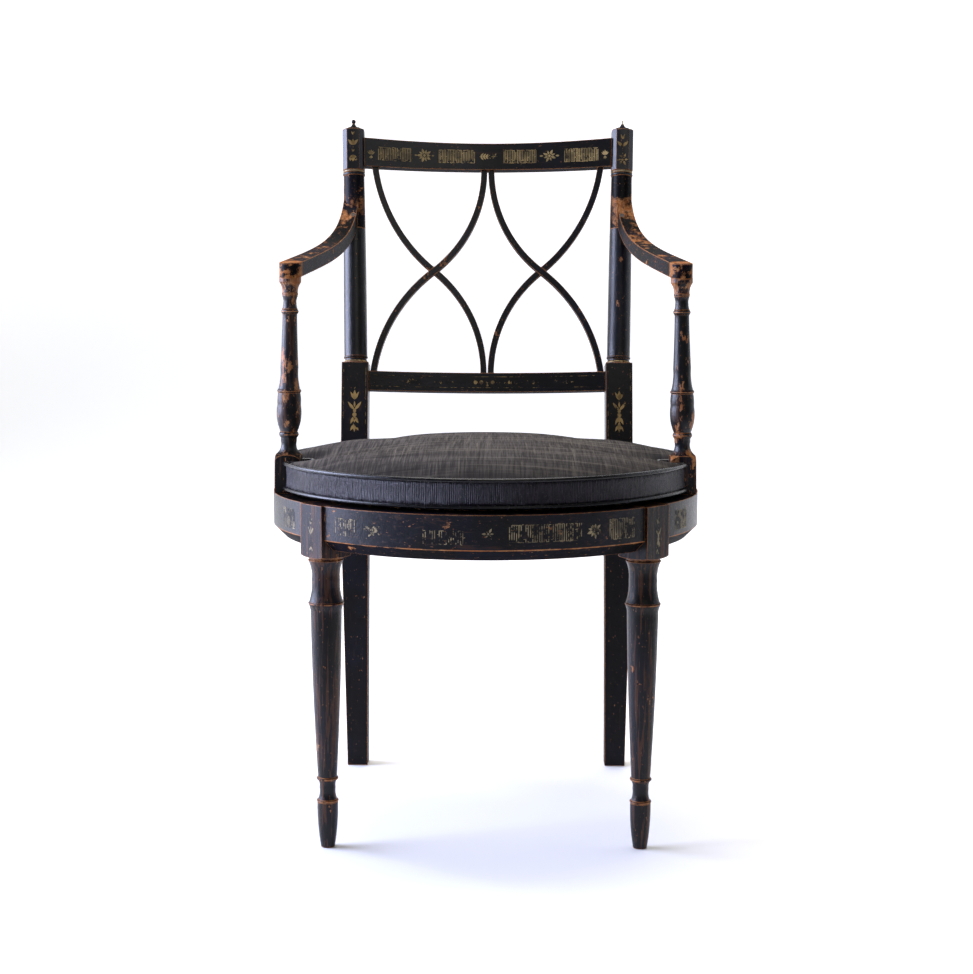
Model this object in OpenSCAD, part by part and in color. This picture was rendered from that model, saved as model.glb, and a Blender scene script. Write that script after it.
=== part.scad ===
// Regency armchair with a round caned seat, a bowed lattice back, sweeping arms
// and a loose crowned cushion. The front is towards -Y, +Z is up, and the origin
// is on the floor in the middle of the footprint. Left is the -X side.

/* [Seat] */
// Outer radius of the round seat frame
seat_r = 257.5; // [252:0.5:264]
// Height of the top of the seat rails
seat_z = 401.5; // [390:0.5:415]
// Depth of the seat rails from top to bottom
rail_h = 51.5; // [48:0.5:56]
// Width of the seat rails from outside to inside
rail_w = 48; // [46:0.5:52]
// Chamfer along the lower outside edge of the seat rails
rail_chamfer = 12.5; // [8:0.5:15]

/* [Front legs] */
// Angle of each front leg from straight ahead
leg_angle = 49; // [46:0.5:52]
// Distance from the seat's edge in to the leg's axis
leg_inset = 17.5; // [16:0.5:19]
// Width of the square block at the top of the leg
leg_block = 41; // [39:0.5:43]
// Height of that block
leg_block_h = 61.5; // [59:0.5:66]
// Diameter of the sharp ring under the block
leg_ring_d = 41; // [38:0.5:43]
// Distance from the block down to that ring
leg_ring_drop = 53; // [48:0.5:58]
// Waist between the block and the ring
leg_waist_d = 32.6; // [29:0.2:35]
// Diameter at the top of the long taper
leg_top_d = 36; // [33:0.5:38]
// Diameter at the ankle
leg_ankle_d = 22; // [20:0.5:24]
// Diameter of the two ankle rings
ankle_ring_d = 25.2; // [24.4:0.2:27]
// Height of the upper ankle ring
ankle_high_z = 81.5; // [76:0.5:88]
// Height of the lower ankle ring
ankle_low_z = 55; // [50:0.5:60]
// Narrowest place between the ankle rings
ankle_neck_d = 18.7; // [17:0.1:20]
// Width of the foot under the lower ring
foot_d = 24; // [22:0.5:24.5]
// Width of the foot on the floor
foot_end_d = 16; // [13:0.5:19]
// Thickness of every thin turned ring
ring_t = 3; // [2.4:0.1:4]

/* [Rear posts] */
// Angle of each post from straight behind, seen from the seat's centre
post_angle = 44.35; // [43.6:0.05:45]
// Distance from the seat's edge in to the post's axis
post_inset = 8.6; // [7:0.1:10]
// Width of the square post at the seat
post_sq = 35; // [33.5:0.5:36]
// Width of the square foot on the floor
post_foot = 27; // [24:0.5:31]
// Height where the leg starts to taper
post_taper_z = 300; // [260:5:340]
// How far the foot stands behind the post's place at the seat
post_kick = 29; // [20:1:36]
// Rake of the back
rake = 11.3; // [8:0.1:13]
// Outward splay of the posts above the lower block
splay = 1.1; // [0.4:0.1:1.8]
// Length of the lower square block above the seat, along the rake
block_w = 143.5; // [140:0.5:150]
// Diameter of the round post at its foot
column_d = 30.5; // [29.5:0.5:32]
// Diameter of the round post under the collar
column_top_d = 27.6; // [26.6:0.2:28.6]
// Distance up the rake to the underside of the collar
collar_w = 396.4; // [388:0.4:402]
// Height of the collar
collar_t = 6.9; // [5:0.1:8]
// Width of the octagonal top block across its flats
top_block = 28.6; // [27.6:0.2:30]
// Length of the octagonal top block
top_block_h = 54.7; // [50:0.5:60]
// Width of the finial where it leaves the sloping shoulder
finial_d = 17.5; // [14:0.5:20]
// Height of the finial's hollow cone
finial_h = 6; // [5:0.5:9]
// Radius of the bead on the finial
bead_r = 2.9; // [2.4:0.1:3.6]
// Diameter of the pin that carries the bead
pin_d = 1.6; // [1.2:0.1:2]

/* [Lattice back] */
// How far the back bows out behind the posts
back_bow = 18; // [14:0.5:22]
// Thickness of the crest rail
crest_t = 16; // [14:0.5:18]
// Height of the crest rail
crest_h = 38.5; // [34:0.5:42]
// Distance from the collar's underside up to the crest rail
crest_lift = 12; // [8:0.5:15]
// Distance up the rake to the lower back rail
lower_w = 107.5; // [90:0.5:114]
// Height of the lower back rail
lower_h = 25.5; // [22:0.5:28]
// Thickness of the lower back rail
lower_t = 18; // [16:0.5:20]
// Width of a rib, seen from the front
rib_w = 8.2; // [7:0.1:10]
// Thickness of a rib
rib_t = 9.6; // [8:0.2:11]
// Distance from the middle to the inner ribs, at the rails
rib_inner_x = 4.8; // [4.4:0.1:7]
// Distance from a post's inner face to the outer ribs, at the rails
rib_outer_gap = 6; // [5.5:0.1:12]
// How far the crossing lies inwards from half way between those ends
cross_shift = 6.1; // [2:0.1:9]

/* [Arms] */
// Angle of the arm support ahead of the seat's side
support_angle = 12.46; // [11.5:0.01:13.5]
// Distance from the seat's edge in to the support's axis
support_inset = 16.5; // [15.5:0.1:17.5]
// Inward lean of the arm support
support_lean = 1.05; // [0.5:0.05:1.5]
// Width of the square block at the support's foot
support_block = 30; // [28:0.5:31]
// Height of that block
support_block_h = 44.5; // [42:0.5:50]
// Diameter of the neck over the block
support_neck_d = 19; // [17:0.2:21]
// Diameter of the bead over the neck
support_bead_d = 23.4; // [22:0.2:26]
// Widest place of the vase
vase_d = 28; // [26:0.2:28.4]
// Height of the vase's widest place over the block
vase_h = 60; // [56:0.5:66]
// Diameter of the sharp ring over the vase
support_ring_d = 28.8; // [28:0.2:31]
// Height of that ring over the block
support_ring_h = 76.6; // [74:0.2:80]
// Diameter of the waist over the ring
support_waist_d = 21.2; // [19:0.2:23]
// Height from the ring to the waist
support_waist_h = 27.6; // [24:0.2:32]
// Diameter of the barrel under the arm
barrel_d = 20.6; // [19:0.2:22]
// Distance from the arm down to the barrel
barrel_drop = 40.5; // [38:0.5:44]
// Distance from the arm down to the highest ring
high_ring_drop = 20; // [18.5:0.5:22]
// Height of the arm's top over the seat, at the support
arm_h = 272.5; // [266:0.5:280]
// Thickness of the arm
arm_t = 17; // [15:0.5:19]
// Width of the arm over the support
arm_head_w = 26; // [25:0.2:28]
// Width of the arm where it reaches the post
arm_post_w = 20; // [17:0.5:22]
// How deep the arm's upper end is sunk in the round of the post
arm_sink = 4.3; // [3.6:0.1:6]
// How far the arm has risen over the support where its upward sweep begins
arm_knee = 31; // [26:0.5:40]
// How far the lap starts below half way from the arm's head up to the collar
lap_shift = 12.7; // [8:0.1:18]
// Distance from the post's axis forward to the lap joint
lap_depth = 3; // [2:0.2:5]
// Diameter of the peg through each lap
peg_d = 6; // [5:0.5:7]
// Distance from the foot of the lap up to the peg
peg_rise = 15; // [12:0.5:22]

/* [Cane and cushion] */
// Distance from the seat's edge in to the ring of cane holes
cane_inset = 37.5; // [36:0.5:39.5]
// Thickness of the cane
cane_t = 1.6; // [1.2:0.1:2]
// Spacing of the cane strands
cane_pitch = 25; // [22:0.5:34]
// Width of a cane strand
cane_strand = 3; // [2:0.2:4]
// Width of the binding over the cane's edge
binding_w = 5; // [4:0.2:5.4]
// Distance from the seat's edge in to the cushion's
cushion_inset = 7; // [3.5:0.5:12]
// Depth of the cushion's side between its two pipings
cushion_side = 29.3; // [26:0.5:34]
// Crown of the cushion over its edge
cushion_crown = 23; // [12:0.5:26]
// Fullness of the crown towards the edge
cushion_fullness = 2.6; // [2:0.1:3.4]
// Radius of the piping
piping_r = 2.5; // [2:0.1:3.2]
// Space round the posts and supports in the cushion's notches
notch_gap = 3.5; // [3:0.1:5]

/* [Hidden] */
$fn = 72;

lacquer = [0.07, 0.06, 0.06];
worn = [0.42, 0.24, 0.12];
cane_colour = [0.72, 0.52, 0.28];
cloth = [0.47, 0.43, 0.38];

fit = 0.1;          // clearance round every tenon, lap and peg
rib_tenon = 8;      // how far the end of a rib runs into its rail
seat_gap = 0.4;     // clearance under the cushion and round curved neighbours
reach = seat_z;     // longer than any piece that is cut with it

// Mortise and tenon joints
tenon_t = 11;       // thickness, height and length of the seat frame's tenons
tenon_h = 28;
tenon_l = 15;
tenon_side = 3;     // how far a side rail's tenon lies inside the post's axis
tenon_stop = 6;     // how far a back rail's tenon stops short of the post's axis
corner_lap = 6;     // how far a side rail reaches round the post's inner corner
root = 3;           // how far a tenon starts inside its own piece
tenon_z = seat_z - rail_h / 2 - tenon_h / 2;
crest_tenon_t = 10; // thickness of the crest rail's tenon
crest_edge = 8;     // height of the crest rail over and under its tenon
lower_tenon_t = 9;  // thickness of the lower rail's tenon
lower_edge = 4;     // height of the lower rail over and under its tenon
support_tenon_d = 12;
support_foot_d = 16;
support_foot_l = 24;
peg_back = 9;       // how far a peg runs past the post's axis
pin_l = 8;          // how deep the pin stands in its finial

// Derived places
rail_z = seat_z - rail_h;
leg_r = seat_r - leg_inset;
leg_block_z = seat_z - leg_block_h;
ring_z = leg_block_z - leg_ring_drop;
post_x = (seat_r - post_inset) * sin(post_angle);
post_y = (seat_r - post_inset) * cos(post_angle);
support_x = (seat_r - support_inset) * cos(support_angle);
support_front = (seat_r - support_inset) * sin(support_angle);
joint_angle = atan2(post_x - post_sq / 2, post_y - post_sq / 2 + corner_lap);
cane_r = seat_r - cane_inset;
cushion_r = seat_r - cushion_inset;
bow_r = (pow(post_x - post_sq / 2, 2) + back_bow * back_bow) / (2 * back_bow);
crest_w = collar_w + crest_lift;
top_w = collar_w + collar_t;
shoulder_h = 4;
rib_outer_x = post_x - post_sq / 2 - rib_outer_gap;
cross_x = (rib_inner_x + rib_outer_x) / 2 - cross_shift;
cross_w = (lower_w + lower_h + crest_w) / 2;
cross_angle = 2 * atan((cross_x - rib_inner_x) / (crest_w - cross_w));
lap_w = (collar_w + arm_h / cos(rake)) / 2 - lap_shift;
head_z = seat_z + arm_h;
head_x = support_x - arm_h * tan(support_lean);
collar_x = post_x + (collar_w - block_w) * sin(splay);
collar_y = post_y + collar_w * sin(rake);
arm_turn = atan2(head_x - collar_x, collar_y + support_front);
arm_len = norm([head_x - collar_x, collar_y + support_front]);
arm_end_z = seat_z + collar_w * cos(rake);

// The whole chair is centred on its footprint
back_reach = post_y + (crest_w + crest_h) * sin(rake) + (back_bow + crest_t / 2) * cos(rake);
y_mid = (back_reach - seat_r) / 2;

// Points of a circular arc from a to b. Going up an outline, a positive hollow
// dips towards the axis and a negative one swells away from it.
function arc(a, b, hollow, n = 8) =
    let (c = norm(b - a), r = c * c / (8 * hollow) + hollow / 2, half = asin(c / (2 * r)),
         along = (b - a) / c, in = [-along[1], along[0]], m = (a + b) / 2 + in * (hollow - r))
    [for (i = [0:n]) let (t = half * (2 * i / n - 1)) m + r * (in * cos(t) + along * sin(t))];

// A half round rim of a given diameter and thickness, centred at height z
function rim(d, z, t = ring_t) = arc([d / 2 - t / 4, z - t / 2], [d / 2 - t / 4, z + t / 2], -t / 4, 6);

// A point of a cubic curve and its direction
function bezier(p, t) =
    p[0] * pow(1 - t, 3) + 3 * p[1] * t * pow(1 - t, 2) + 3 * p[2] * t * t * (1 - t) + p[3] * pow(t, 3);
function heading(p, t) =
    let (d = (p[1] - p[0]) * pow(1 - t, 2) + 2 * (p[2] - p[1]) * t * (1 - t) + (p[3] - p[2]) * t * t)
    d / norm(d);

// A turned piece from its outline, bottom to top
module turned(outline) {
    first = outline[0];
    last = outline[len(outline) - 1];
    rotate_extrude() polygon(concat([[0, first[1]]], outline, [[0, last[1]]]));
}

// A box given by its two corners
module block(low, high) {
    translate(low) cube(high - low);
}

// Everything is drawn for the right side, and mirrored for the left
module on_side(side) {
    mirror([side < 0 ? 1 : 0, 0, 0]) children();
}

module in_place() {
    translate([0, -y_mid, 0]) children();
}

// The leaning frame of the back: z runs up the rake from the top of the seat
module back_frame() {
    translate([0, post_y, seat_z]) rotate([-rake, 0, 0]) children();
}

// The splayed frame of a round post, on its own axis
module post_frame() {
    back_frame() translate([post_x, 0, block_w]) rotate([0, splay, 0]) translate([0, 0, -block_w]) children();
}

module leg_frame() {
    rotate([0, 0, leg_angle - 90]) translate([leg_r, 0, 0]) children();
}

module support_frame() {
    translate([support_x, -support_front, seat_z]) rotate([0, -support_lean, 0]) children();
}

// The upright plane of an arm: y runs from the support's head back to the post
module arm_frame() {
    translate([head_x, -support_front, 0]) rotate([0, 0, arm_turn]) children();
}

// Front legs
function leg_outline() = concat(
    arc([foot_end_d / 2, 0], [foot_d / 2, ankle_low_z - ring_t / 2 - 1], -1.2),
    rim(ankle_ring_d, ankle_low_z),
    arc([foot_d / 2 - 1, ankle_low_z + ring_t / 2], [ankle_neck_d / 2, (ankle_low_z + ankle_high_z) / 2 + 2], 0.9, 6),
    arc([ankle_neck_d / 2, (ankle_low_z + ankle_high_z) / 2 + 2.5], [foot_d / 2 - 1, ankle_high_z - ring_t / 2], 0.8, 6),
    rim(ankle_ring_d, ankle_high_z),
    arc([leg_ankle_d / 2, ankle_high_z + ring_t / 2], [leg_top_d / 2, ring_z - 8], -1.1, 12),
    rim(leg_ring_d, ring_z),
    arc([leg_ring_d / 2 - 1, ring_z + ring_t / 2], [leg_waist_d / 2, ring_z + leg_ring_drop / 2], 1.2, 8),
    arc([leg_waist_d / 2, ring_z + leg_ring_drop / 2 + 1], [leg_block / 2 - 0.2, leg_block_z - 3], 1.6, 8),
    [[leg_block / 2 - 1.5, leg_block_z - 1.5], [leg_block / 2 - 1.5, leg_block_z + 8]]);

// The turned cap that rounds the corners of a square block where it meets a turning
function ear_outline(width, z, rise) = concat(
    arc([width / 2 - 0.6, z], [width * 0.72, z + rise], -rise * 0.18, 6),
    [[width * 0.72, z + reach]]);

module leg_tenon(way, grow) {
    leg_frame() translate([(leg_inset - rail_w / 2), 0, tenon_z + tenon_h / 2])
        scale([1, way, 1])
        block([-tenon_t / 2 - grow, leg_block / 2 - tenon_l - grow, -tenon_h / 2 - grow],
              [tenon_t / 2 + grow, leg_block / 2 + root, tenon_h / 2 + grow]);
}

module front_leg() {
    color(lacquer) difference() {
        union() {
            leg_frame() turned(leg_outline());
            leg_frame() intersection() {
                block([-leg_block / 2, -leg_block / 2, leg_block_z], [leg_block / 2, leg_block / 2, seat_z]);
                turned(ear_outline(leg_block, leg_block_z, 9));
            }
        }
        leg_tenon(1, fit);
        leg_tenon(-1, fit);
    }
}

// Rear posts: leg, seat joint and back stile in one piece
module post_square() {
    h = post_sq / 2;
    f = post_foot / 2;
    bend = post_kick * (1 - post_taper_z / seat_z);
    top_y = post_y + block_w * sin(rake);
    top_z = seat_z + block_w * cos(rake);
    lean = [h * cos(rake), -h * sin(rake)];
    intersection() {
        rotate([90, 0, 90]) linear_extrude(reach)
            polygon([[post_y + post_kick - f, 0], [post_y + bend - h, post_taper_z], [post_y - h, seat_z],
                     [top_y - lean[0], top_z - lean[1]], [top_y + lean[0], top_z + lean[1]],
                     [post_y + h, seat_z], [post_y + bend + h, post_taper_z], [post_y + post_kick + f, 0]]);
        translate([post_x, 0, 0]) rotate([90, 0, 0]) translate([0, 0, -reach]) linear_extrude(2 * reach)
            polygon([[-f, 0], [-h, post_taper_z], [-h, top_z + h], [h, top_z + h], [h, post_taper_z], [f, 0]]);
    }
}

function column_outline() = concat(
    [[post_sq / 2 - 0.6, block_w - 1], [post_sq / 2 - 0.6, block_w + 1.5]],
    arc([post_sq / 2 - 1, block_w + 2], [column_d / 2 - 0.6, block_w + 6.5], 1, 5),
    rim(column_d + 1.4, block_w + 8.2, 2.6),
    arc([column_d / 2, block_w + 10], [column_top_d / 2, collar_w], -0.5, 12));

function collar_outline() = concat(
    rim(top_block + 1.2, collar_w + collar_t * 0.28, collar_t * 0.56),
    [[top_block / 2 - 0.8, collar_w + collar_t * 0.58]],
    rim(top_block + 0.6, collar_w + collar_t * 0.8, collar_t * 0.4));

function finial_outline() = concat(
    [[top_block, top_w], [top_block / 2 + 1, top_w + top_block_h]],
    [[finial_d / 2, top_w + top_block_h + shoulder_h]],
    arc([finial_d / 2 - 0.4, top_w + top_block_h + shoulder_h], [pin_d / 2 + 1, bead_w()], 1.2, 6));

function bead_w() = top_w + top_block_h + shoulder_h + finial_h;

module top_block_shape() {
    post_frame() translate([0, 0, top_w - 0.5]) rotate([0, 0, 22.5])
        cylinder(d = top_block / cos(22.5), h = top_block_h + shoulder_h + 0.5, $fn = 8);
}

module lap_space(grow) {
    post_frame() block([-post_sq, -post_sq, lap_w - grow], [post_sq, -lap_depth + grow, collar_w]);
}

module peg_bore(grow) {
    post_frame() translate([0, 0, lap_w + peg_rise]) rotate([90, 0, 0])
        translate([0, 0, -peg_back - grow]) cylinder(d = peg_d + 2 * grow, h = 3 * post_sq);
}

module pin_bore(grow) {
    post_frame() translate([0, 0, bead_w() - pin_l - grow]) cylinder(d = pin_d + 2 * grow, h = reach / 4);
}

module rear_post() {
    color(lacquer) difference() {
        union() {
            post_square();
            post_frame() turned(column_outline());
            post_frame() turned(collar_outline());
            intersection() {
                top_block_shape();
                post_frame() turned(finial_outline());
            }
            post_frame() turned(arc([finial_d / 2 - 0.4, top_w + top_block_h + shoulder_h - 0.5],
                                    [pin_d / 2 + 1, bead_w()], 1.2, 6));
        }
        lap_space(0);
        peg_bore(fit);
        pin_bore(fit);
        side_rail_tenon(fit);
        back_rail_tenon(fit);
        lower_tenon(fit);
        crest_tenon(fit);
    }
}

module finial_pin() {
    post_frame() translate([0, 0, bead_w() - pin_l]) cylinder(d = pin_d, h = pin_l + 2 * bead_r - 0.6);
}

module finial_pins() {
    color(worn) for (side = [-1, 1]) on_side(side) finial_pin();
}

module finial_bead() {
    color(worn) on_side(-1) difference() {
        post_frame() translate([0, 0, bead_w() + bead_r]) sphere(r = bead_r);
        post_frame() translate([0, 0, bead_w() - 1]) cylinder(d = pin_d + 2 * fit, h = 2 * bead_r + 1);
    }
}

// Bowed back: every piece between the posts lies in one upright curved sheet
module bow_sheet(thick, low, high) {
    half = asin(min(0.99, (post_x + post_sq) / bow_r));
    translate([0, back_bow - bow_r, low]) rotate([0, 0, 90 - half])
        rotate_extrude(angle = 2 * half, $fn = 180)
        translate([bow_r - thick / 2, 0]) square([thick, high - low]);
}

module crest_tenon(grow) {
    half = crest_tenon_t / 2 + grow;
    back_frame() block([collar_x - top_block / 2 - root, -half, crest_w + crest_edge - grow],
                       [collar_x + grow, half, crest_w + crest_h - crest_edge + grow]);
}

module lower_tenon(grow) {
    half = lower_tenon_t / 2 + grow;
    back_frame() block([post_x - post_sq / 2 - root, -half, lower_w + lower_edge - grow],
                       [post_x + grow, half, lower_w + lower_h - lower_edge + grow]);
}

// One half of a rib: an arc from the crossing to its end at a rail, run on into
// the rail as a tenon. It is drawn upwards and outwards from the crossing.
module rib_arc(end_x, end_w, grow) {
    dx = end_x - cross_x;
    dw = end_w - cross_w;
    up = dw > 0;
    lean = atan(abs(dx) / abs(dw));
    turn = 2 * (cross_angle - lean);
    r = norm([dx, dw]) / (2 * sin(turn / 2));
    side = dx * dw > 0 ? 1 : -1;
    run_on = (rib_tenon + 1) / r * 180 / PI;
    lead = 1 / r * 180 / PI;
    translate([cross_x, 0, cross_w])
        scale([side * (up ? 1 : -1), 1, up ? 1 : -1])
        translate([-r * cos(cross_angle), 0, r * sin(cross_angle)])
        rotate([90, cross_angle + lead, 0]) translate([0, 0, -reach / 8])
        rotate_extrude(angle = lead + turn + run_on, $fn = 180)
        translate([r - rib_w / 2 - grow, 0]) square([rib_w + 2 * grow, reach / 4]);
}

module rib_body(rising_out, grow) {
    top_x = rising_out ? rib_outer_x : rib_inner_x;
    bottom_x = rising_out ? rib_inner_x : rib_outer_x;
    intersection() {
        union() {
            rib_arc(top_x, crest_w, grow);
            rib_arc(bottom_x, lower_w + lower_h, grow);
        }
        bow_sheet(rib_t + 2 * grow, lower_w + lower_h - rib_tenon - grow, crest_w + rib_tenon + grow);
    }
}

// The half of the sheet's thickness that the other rib takes at the crossing
module crossing_half(front, grow) {
    low = cross_w - 3 * rib_w;
    high = cross_w + 3 * rib_w;
    thick = rib_t + 4;
    shift = front ? -thick / 2 + grow : thick / 2 - grow;
    translate([0, shift, 0]) bow_sheet(thick, low, high);
}

module rib(rising_out) {
    color(lacquer) back_frame() difference() {
        rib_body(rising_out, 0);
        intersection() {
            rib_body(!rising_out, fit);
            crossing_half(rising_out, 0);
        }
    }
}

module rib_mortises() {
    for (side = [-1, 1]) on_side(side) {
        rib_body(true, fit);
        rib_body(false, fit);
    }
}

module crest_rail() {
    color(lacquer) union() {
        difference() {
            back_frame() intersection() {
                bow_sheet(crest_t, crest_w, crest_w + crest_h);
                block([-collar_x, -reach, crest_w], [collar_x, reach, crest_w + crest_h]);
            }
            for (side = [-1, 1]) on_side(side) crest_seat();
            back_frame() rib_mortises();
        }
        for (side = [-1, 1]) on_side(side) crest_tenon(0);
    }
}

// The crest rail stops against the inner face of the octagonal top block
module crest_seat() {
    post_frame() block([-top_block / 2, -reach, 0], [reach, reach, 2 * reach]);
}

module lower_back_rail() {
    edge = post_x - post_sq / 2;
    color(lacquer) difference() {
        union() {
            back_frame() intersection() {
                bow_sheet(lower_t, lower_w, lower_w + lower_h);
                block([-edge, -reach, lower_w], [edge, reach, lower_w + lower_h]);
            }
            for (side = [-1, 1]) on_side(side) lower_tenon(0);
        }
        back_frame() rib_mortises();
    }
}

// Arms
function arm_curve() =
    let (face = arm_len - column_top_d / 2 + arm_sink)
    [[face, arm_end_z], [face - 1, head_z + arm_knee], [arm_len * 0.592, head_z + arm_knee * 0.74], [0, head_z]];

function arm_top() = [for (i = [0:28]) bezier(arm_curve(), i / 28)];

function arm_under() =
    [for (i = [0:28]) let (p = arm_curve(), d = heading(p, i / 28)) bezier(p, i / 28) + arm_t * [-d[1], d[0]]];

function arm_nose() =
    let (d = heading(arm_curve(), 1), p = [0, head_z] + d * arm_head_w)
    [p, p + arm_t * [-d[1], d[0]]];

module arm_slab() {
    under = arm_under();
    rotate([90, 0, 90]) translate([0, 0, -reach / 4]) linear_extrude(reach / 2)
        polygon(concat(arm_top(), arm_nose(), [for (i = [28:-1:0]) under[i]]));
}

module arm_plan() {
    translate([0, 0, seat_z]) cylinder(d = arm_head_w, h = reach * 2);
    translate([0, 0, seat_z]) linear_extrude(reach * 2)
        polygon([[arm_head_w / 2, 0], [arm_post_w / 2, arm_len], [-arm_post_w / 2, arm_len], [-arm_head_w / 2, 0]]);
}

// The space over the arm's top
module arm_sky() {
    far = [[-arm_len, arm_end_z + arm_len], [arm_len - column_top_d / 2, arm_end_z + arm_len]];
    nose = [arm_nose()[0]];
    arm_frame() rotate([90, 0, 90]) translate([0, 0, -reach / 4]) linear_extrude(reach / 2)
        polygon(concat(arm_top(), nose, far));
}

module arm_board() {
    arm_frame() intersection() {
        arm_slab();
        arm_plan();
    }
}

module arm() {
    color(lacquer) difference() {
        union() {
            difference() {
                arm_board();
                post_frame() translate([0, 0, block_w]) cylinder(r = column_d / 2 + seat_gap, h = lap_w - block_w);
            }
            intersection() {
                post_frame() turned(column_outline());
                lap_space(0);
            }
        }
        post_frame() block([-reach, -lap_depth - fit, lap_w], [reach, reach, collar_w + reach]);
        post_frame() block([-reach, -reach, collar_w - fit], [reach, reach, collar_w + reach]);
        post_frame() block([-reach, 0, 0], [reach, reach, collar_w]);
        peg_bore(fit);
        support_tenon(fit);
    }
}

// The peg ends flush with the arm
module arm_peg() {
    intersection() {
        peg_bore(0);
        union() {
            arm_board();
            post_frame() turned(column_outline());
        }
    }
}

module arm_pegs() {
    color(worn) for (side = [-1, 1]) on_side(side) arm_peg();
}

// Turned supports under the front of the arms

module support_tenon(grow) {
    support_frame() translate([0, 0, arm_h - arm_t - root])
        cylinder(d = support_tenon_d + 2 * grow, h = root + arm_t * 0.6 + grow);
}

module support_foot(grow) {
    translate([support_x, -support_front, seat_z - support_foot_l - grow])
        cylinder(d = support_foot_d + 2 * grow, h = support_foot_l + grow);
}

// Heights along the support are taken down from the arm or up from the block
function support_outline() =
    let (b = support_block_h, neck = support_neck_d / 2, vase = vase_d / 2, waist = support_waist_d / 2,
         bead = b + 25, ring = b + support_ring_h, a = arm_h - arm_t, barrel = a - barrel_drop,
         high = a - high_ring_drop, throat = barrel_d / 2 - 2.4, lip = barrel_d / 2 - 1.1, cup = arm_head_w / 2)
    concat(
    [[support_block / 2 - 1, b - 4]],
    arc([support_block / 2 - 0.4, b + 1.5], [neck, bead - 8], 2.4, 7),
    [[neck, bead - 4.5]],
    rim(support_bead_d, bead, 6.4),
    [[neck + 0.8, bead + 3.4]],
    arc([neck + 1, bead + 4], [vase, b + vase_h], -2.2, 8),
    arc([vase, b + vase_h + 0.5], [vase - 0.8, ring - 2], -0.5, 5),
    rim(support_ring_d, ring),
    arc([vase - 1, ring + 2.2], [waist, ring + support_waist_h], 1.1, 7),
    arc([waist, ring + support_waist_h + 0.5], [throat + 0.7, barrel - 4.5], 0.2, 5),
    rim(barrel_d, barrel, 5.6),
    arc([lip, barrel + 3.1], [throat, high - 12], 0.3, 4),
    arc([throat, high - 11], [lip, high - 2.5], 0.7, 5),
    rim(barrel_d - 1.2, high),
    arc([lip, high + 1.8], [cup, a - 6], 1.1, 7),
    [[cup, a + arm_t]]);

module arm_support() {
    color(lacquer) union() {
        difference() {
            union() {
                support_frame() turned(support_outline());
                support_frame() intersection() {
                    block([-support_block / 2, -support_block / 2, -5],
                          [support_block / 2, support_block / 2, support_block_h + 1.5]);
                    translate([0, 0, support_block_h + 1.5]) mirror([0, 0, 1])
                        turned(ear_outline(support_block, 0, 7));
                }
            }
            block([0, -reach, 0], [reach, reach, seat_z]);
            arm_frame() arm_slab();
            arm_sky();
        }
        support_foot(0);
        support_tenon(0);
    }
}

// Seat rails
function rail_section() = [[seat_r - rail_w, rail_z], [seat_r - rail_chamfer, rail_z],
                           [seat_r, rail_z + rail_chamfer], [seat_r, seat_z], [seat_r - rail_w, seat_z]];

// A curved rail between two compass angles, counted from straight ahead
module rail_arc(from, to) {
    rotate([0, 0, from - 90]) rotate_extrude(angle = to - from, $fn = 180) polygon(rail_section());
}

module leg_notch() {
    leg_frame() block([-reach / 8, -leg_block / 2, 0], [reach / 8, leg_block / 2, reach * 2]);
}

module side_rail_tenon(grow) {
    x = post_x - tenon_side;
    y = post_y - post_sq / 2;
    block([x - grow, y - root, tenon_z - grow],
          [x + tenon_t + grow, y + tenon_l + grow, tenon_z + tenon_h + grow]);
}

module back_rail_tenon(grow) {
    x = post_x - post_sq / 2;
    block([x - root, post_y - grow, tenon_z - grow],
          [post_x - tenon_stop + grow, post_y + tenon_t + grow, tenon_z + tenon_h + grow]);
}

module front_seat_rail() {
    color(lacquer) {
        difference() {
            rail_arc(-leg_angle, leg_angle);
            for (side = [-1, 1]) on_side(side) leg_notch();
        }
        for (side = [-1, 1]) on_side(side) leg_tenon(-1, 0);
    }
}

module side_seat_rail() {
    color(lacquer) {
        difference() {
            rail_arc(leg_angle, 180 - joint_angle);
            leg_notch();
            post_square();
            support_foot(fit);
        }
        leg_tenon(1, 0);
        side_rail_tenon(0);
    }
}

module back_seat_rail() {
    color(lacquer) {
        difference() {
            rail_arc(180 - joint_angle, 180 + joint_angle);
            for (side = [-1, 1]) on_side(side) post_square();
        }
        for (side = [-1, 1]) on_side(side) back_rail_tenon(0);
    }
}

// Cane seat: a flat net on the rails, with a binding over its edge
module cane_panel() {
    edge = cane_r - 6;
    count = floor(edge / cane_pitch);
    gap = cane_pitch - cane_strand;
    color(cane_colour) difference() {
        translate([0, 0, seat_z]) cylinder(r = cane_r + 2, h = cane_t, $fn = 144);
        for (i = [-count:count], j = [-count:count]) {
            corner = norm([abs(i) * cane_pitch + gap / 2, abs(j) * cane_pitch + gap / 2]);
            if (corner < edge)
                translate([i * cane_pitch, j * cane_pitch, seat_z + cane_t / 2]) cube([gap, gap, 2 * cane_t], center = true);
        }
    }
}

module cane_binding() {
    color(cane_colour) translate([0, 0, seat_z + cane_t]) rotate_extrude($fn = 144)
        translate([cane_r - binding_w / 2, 0]) square([binding_w, 1.2]);
}

// Cushion: crowned above, slightly full below, with its sides drawn in
function crown(side, z, rise, n = 16) =
    [for (i = [0:n]) let (s = cos(90 * i / n)) [side * s, z + rise * (1 - pow(s, cushion_fullness))]];

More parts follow.
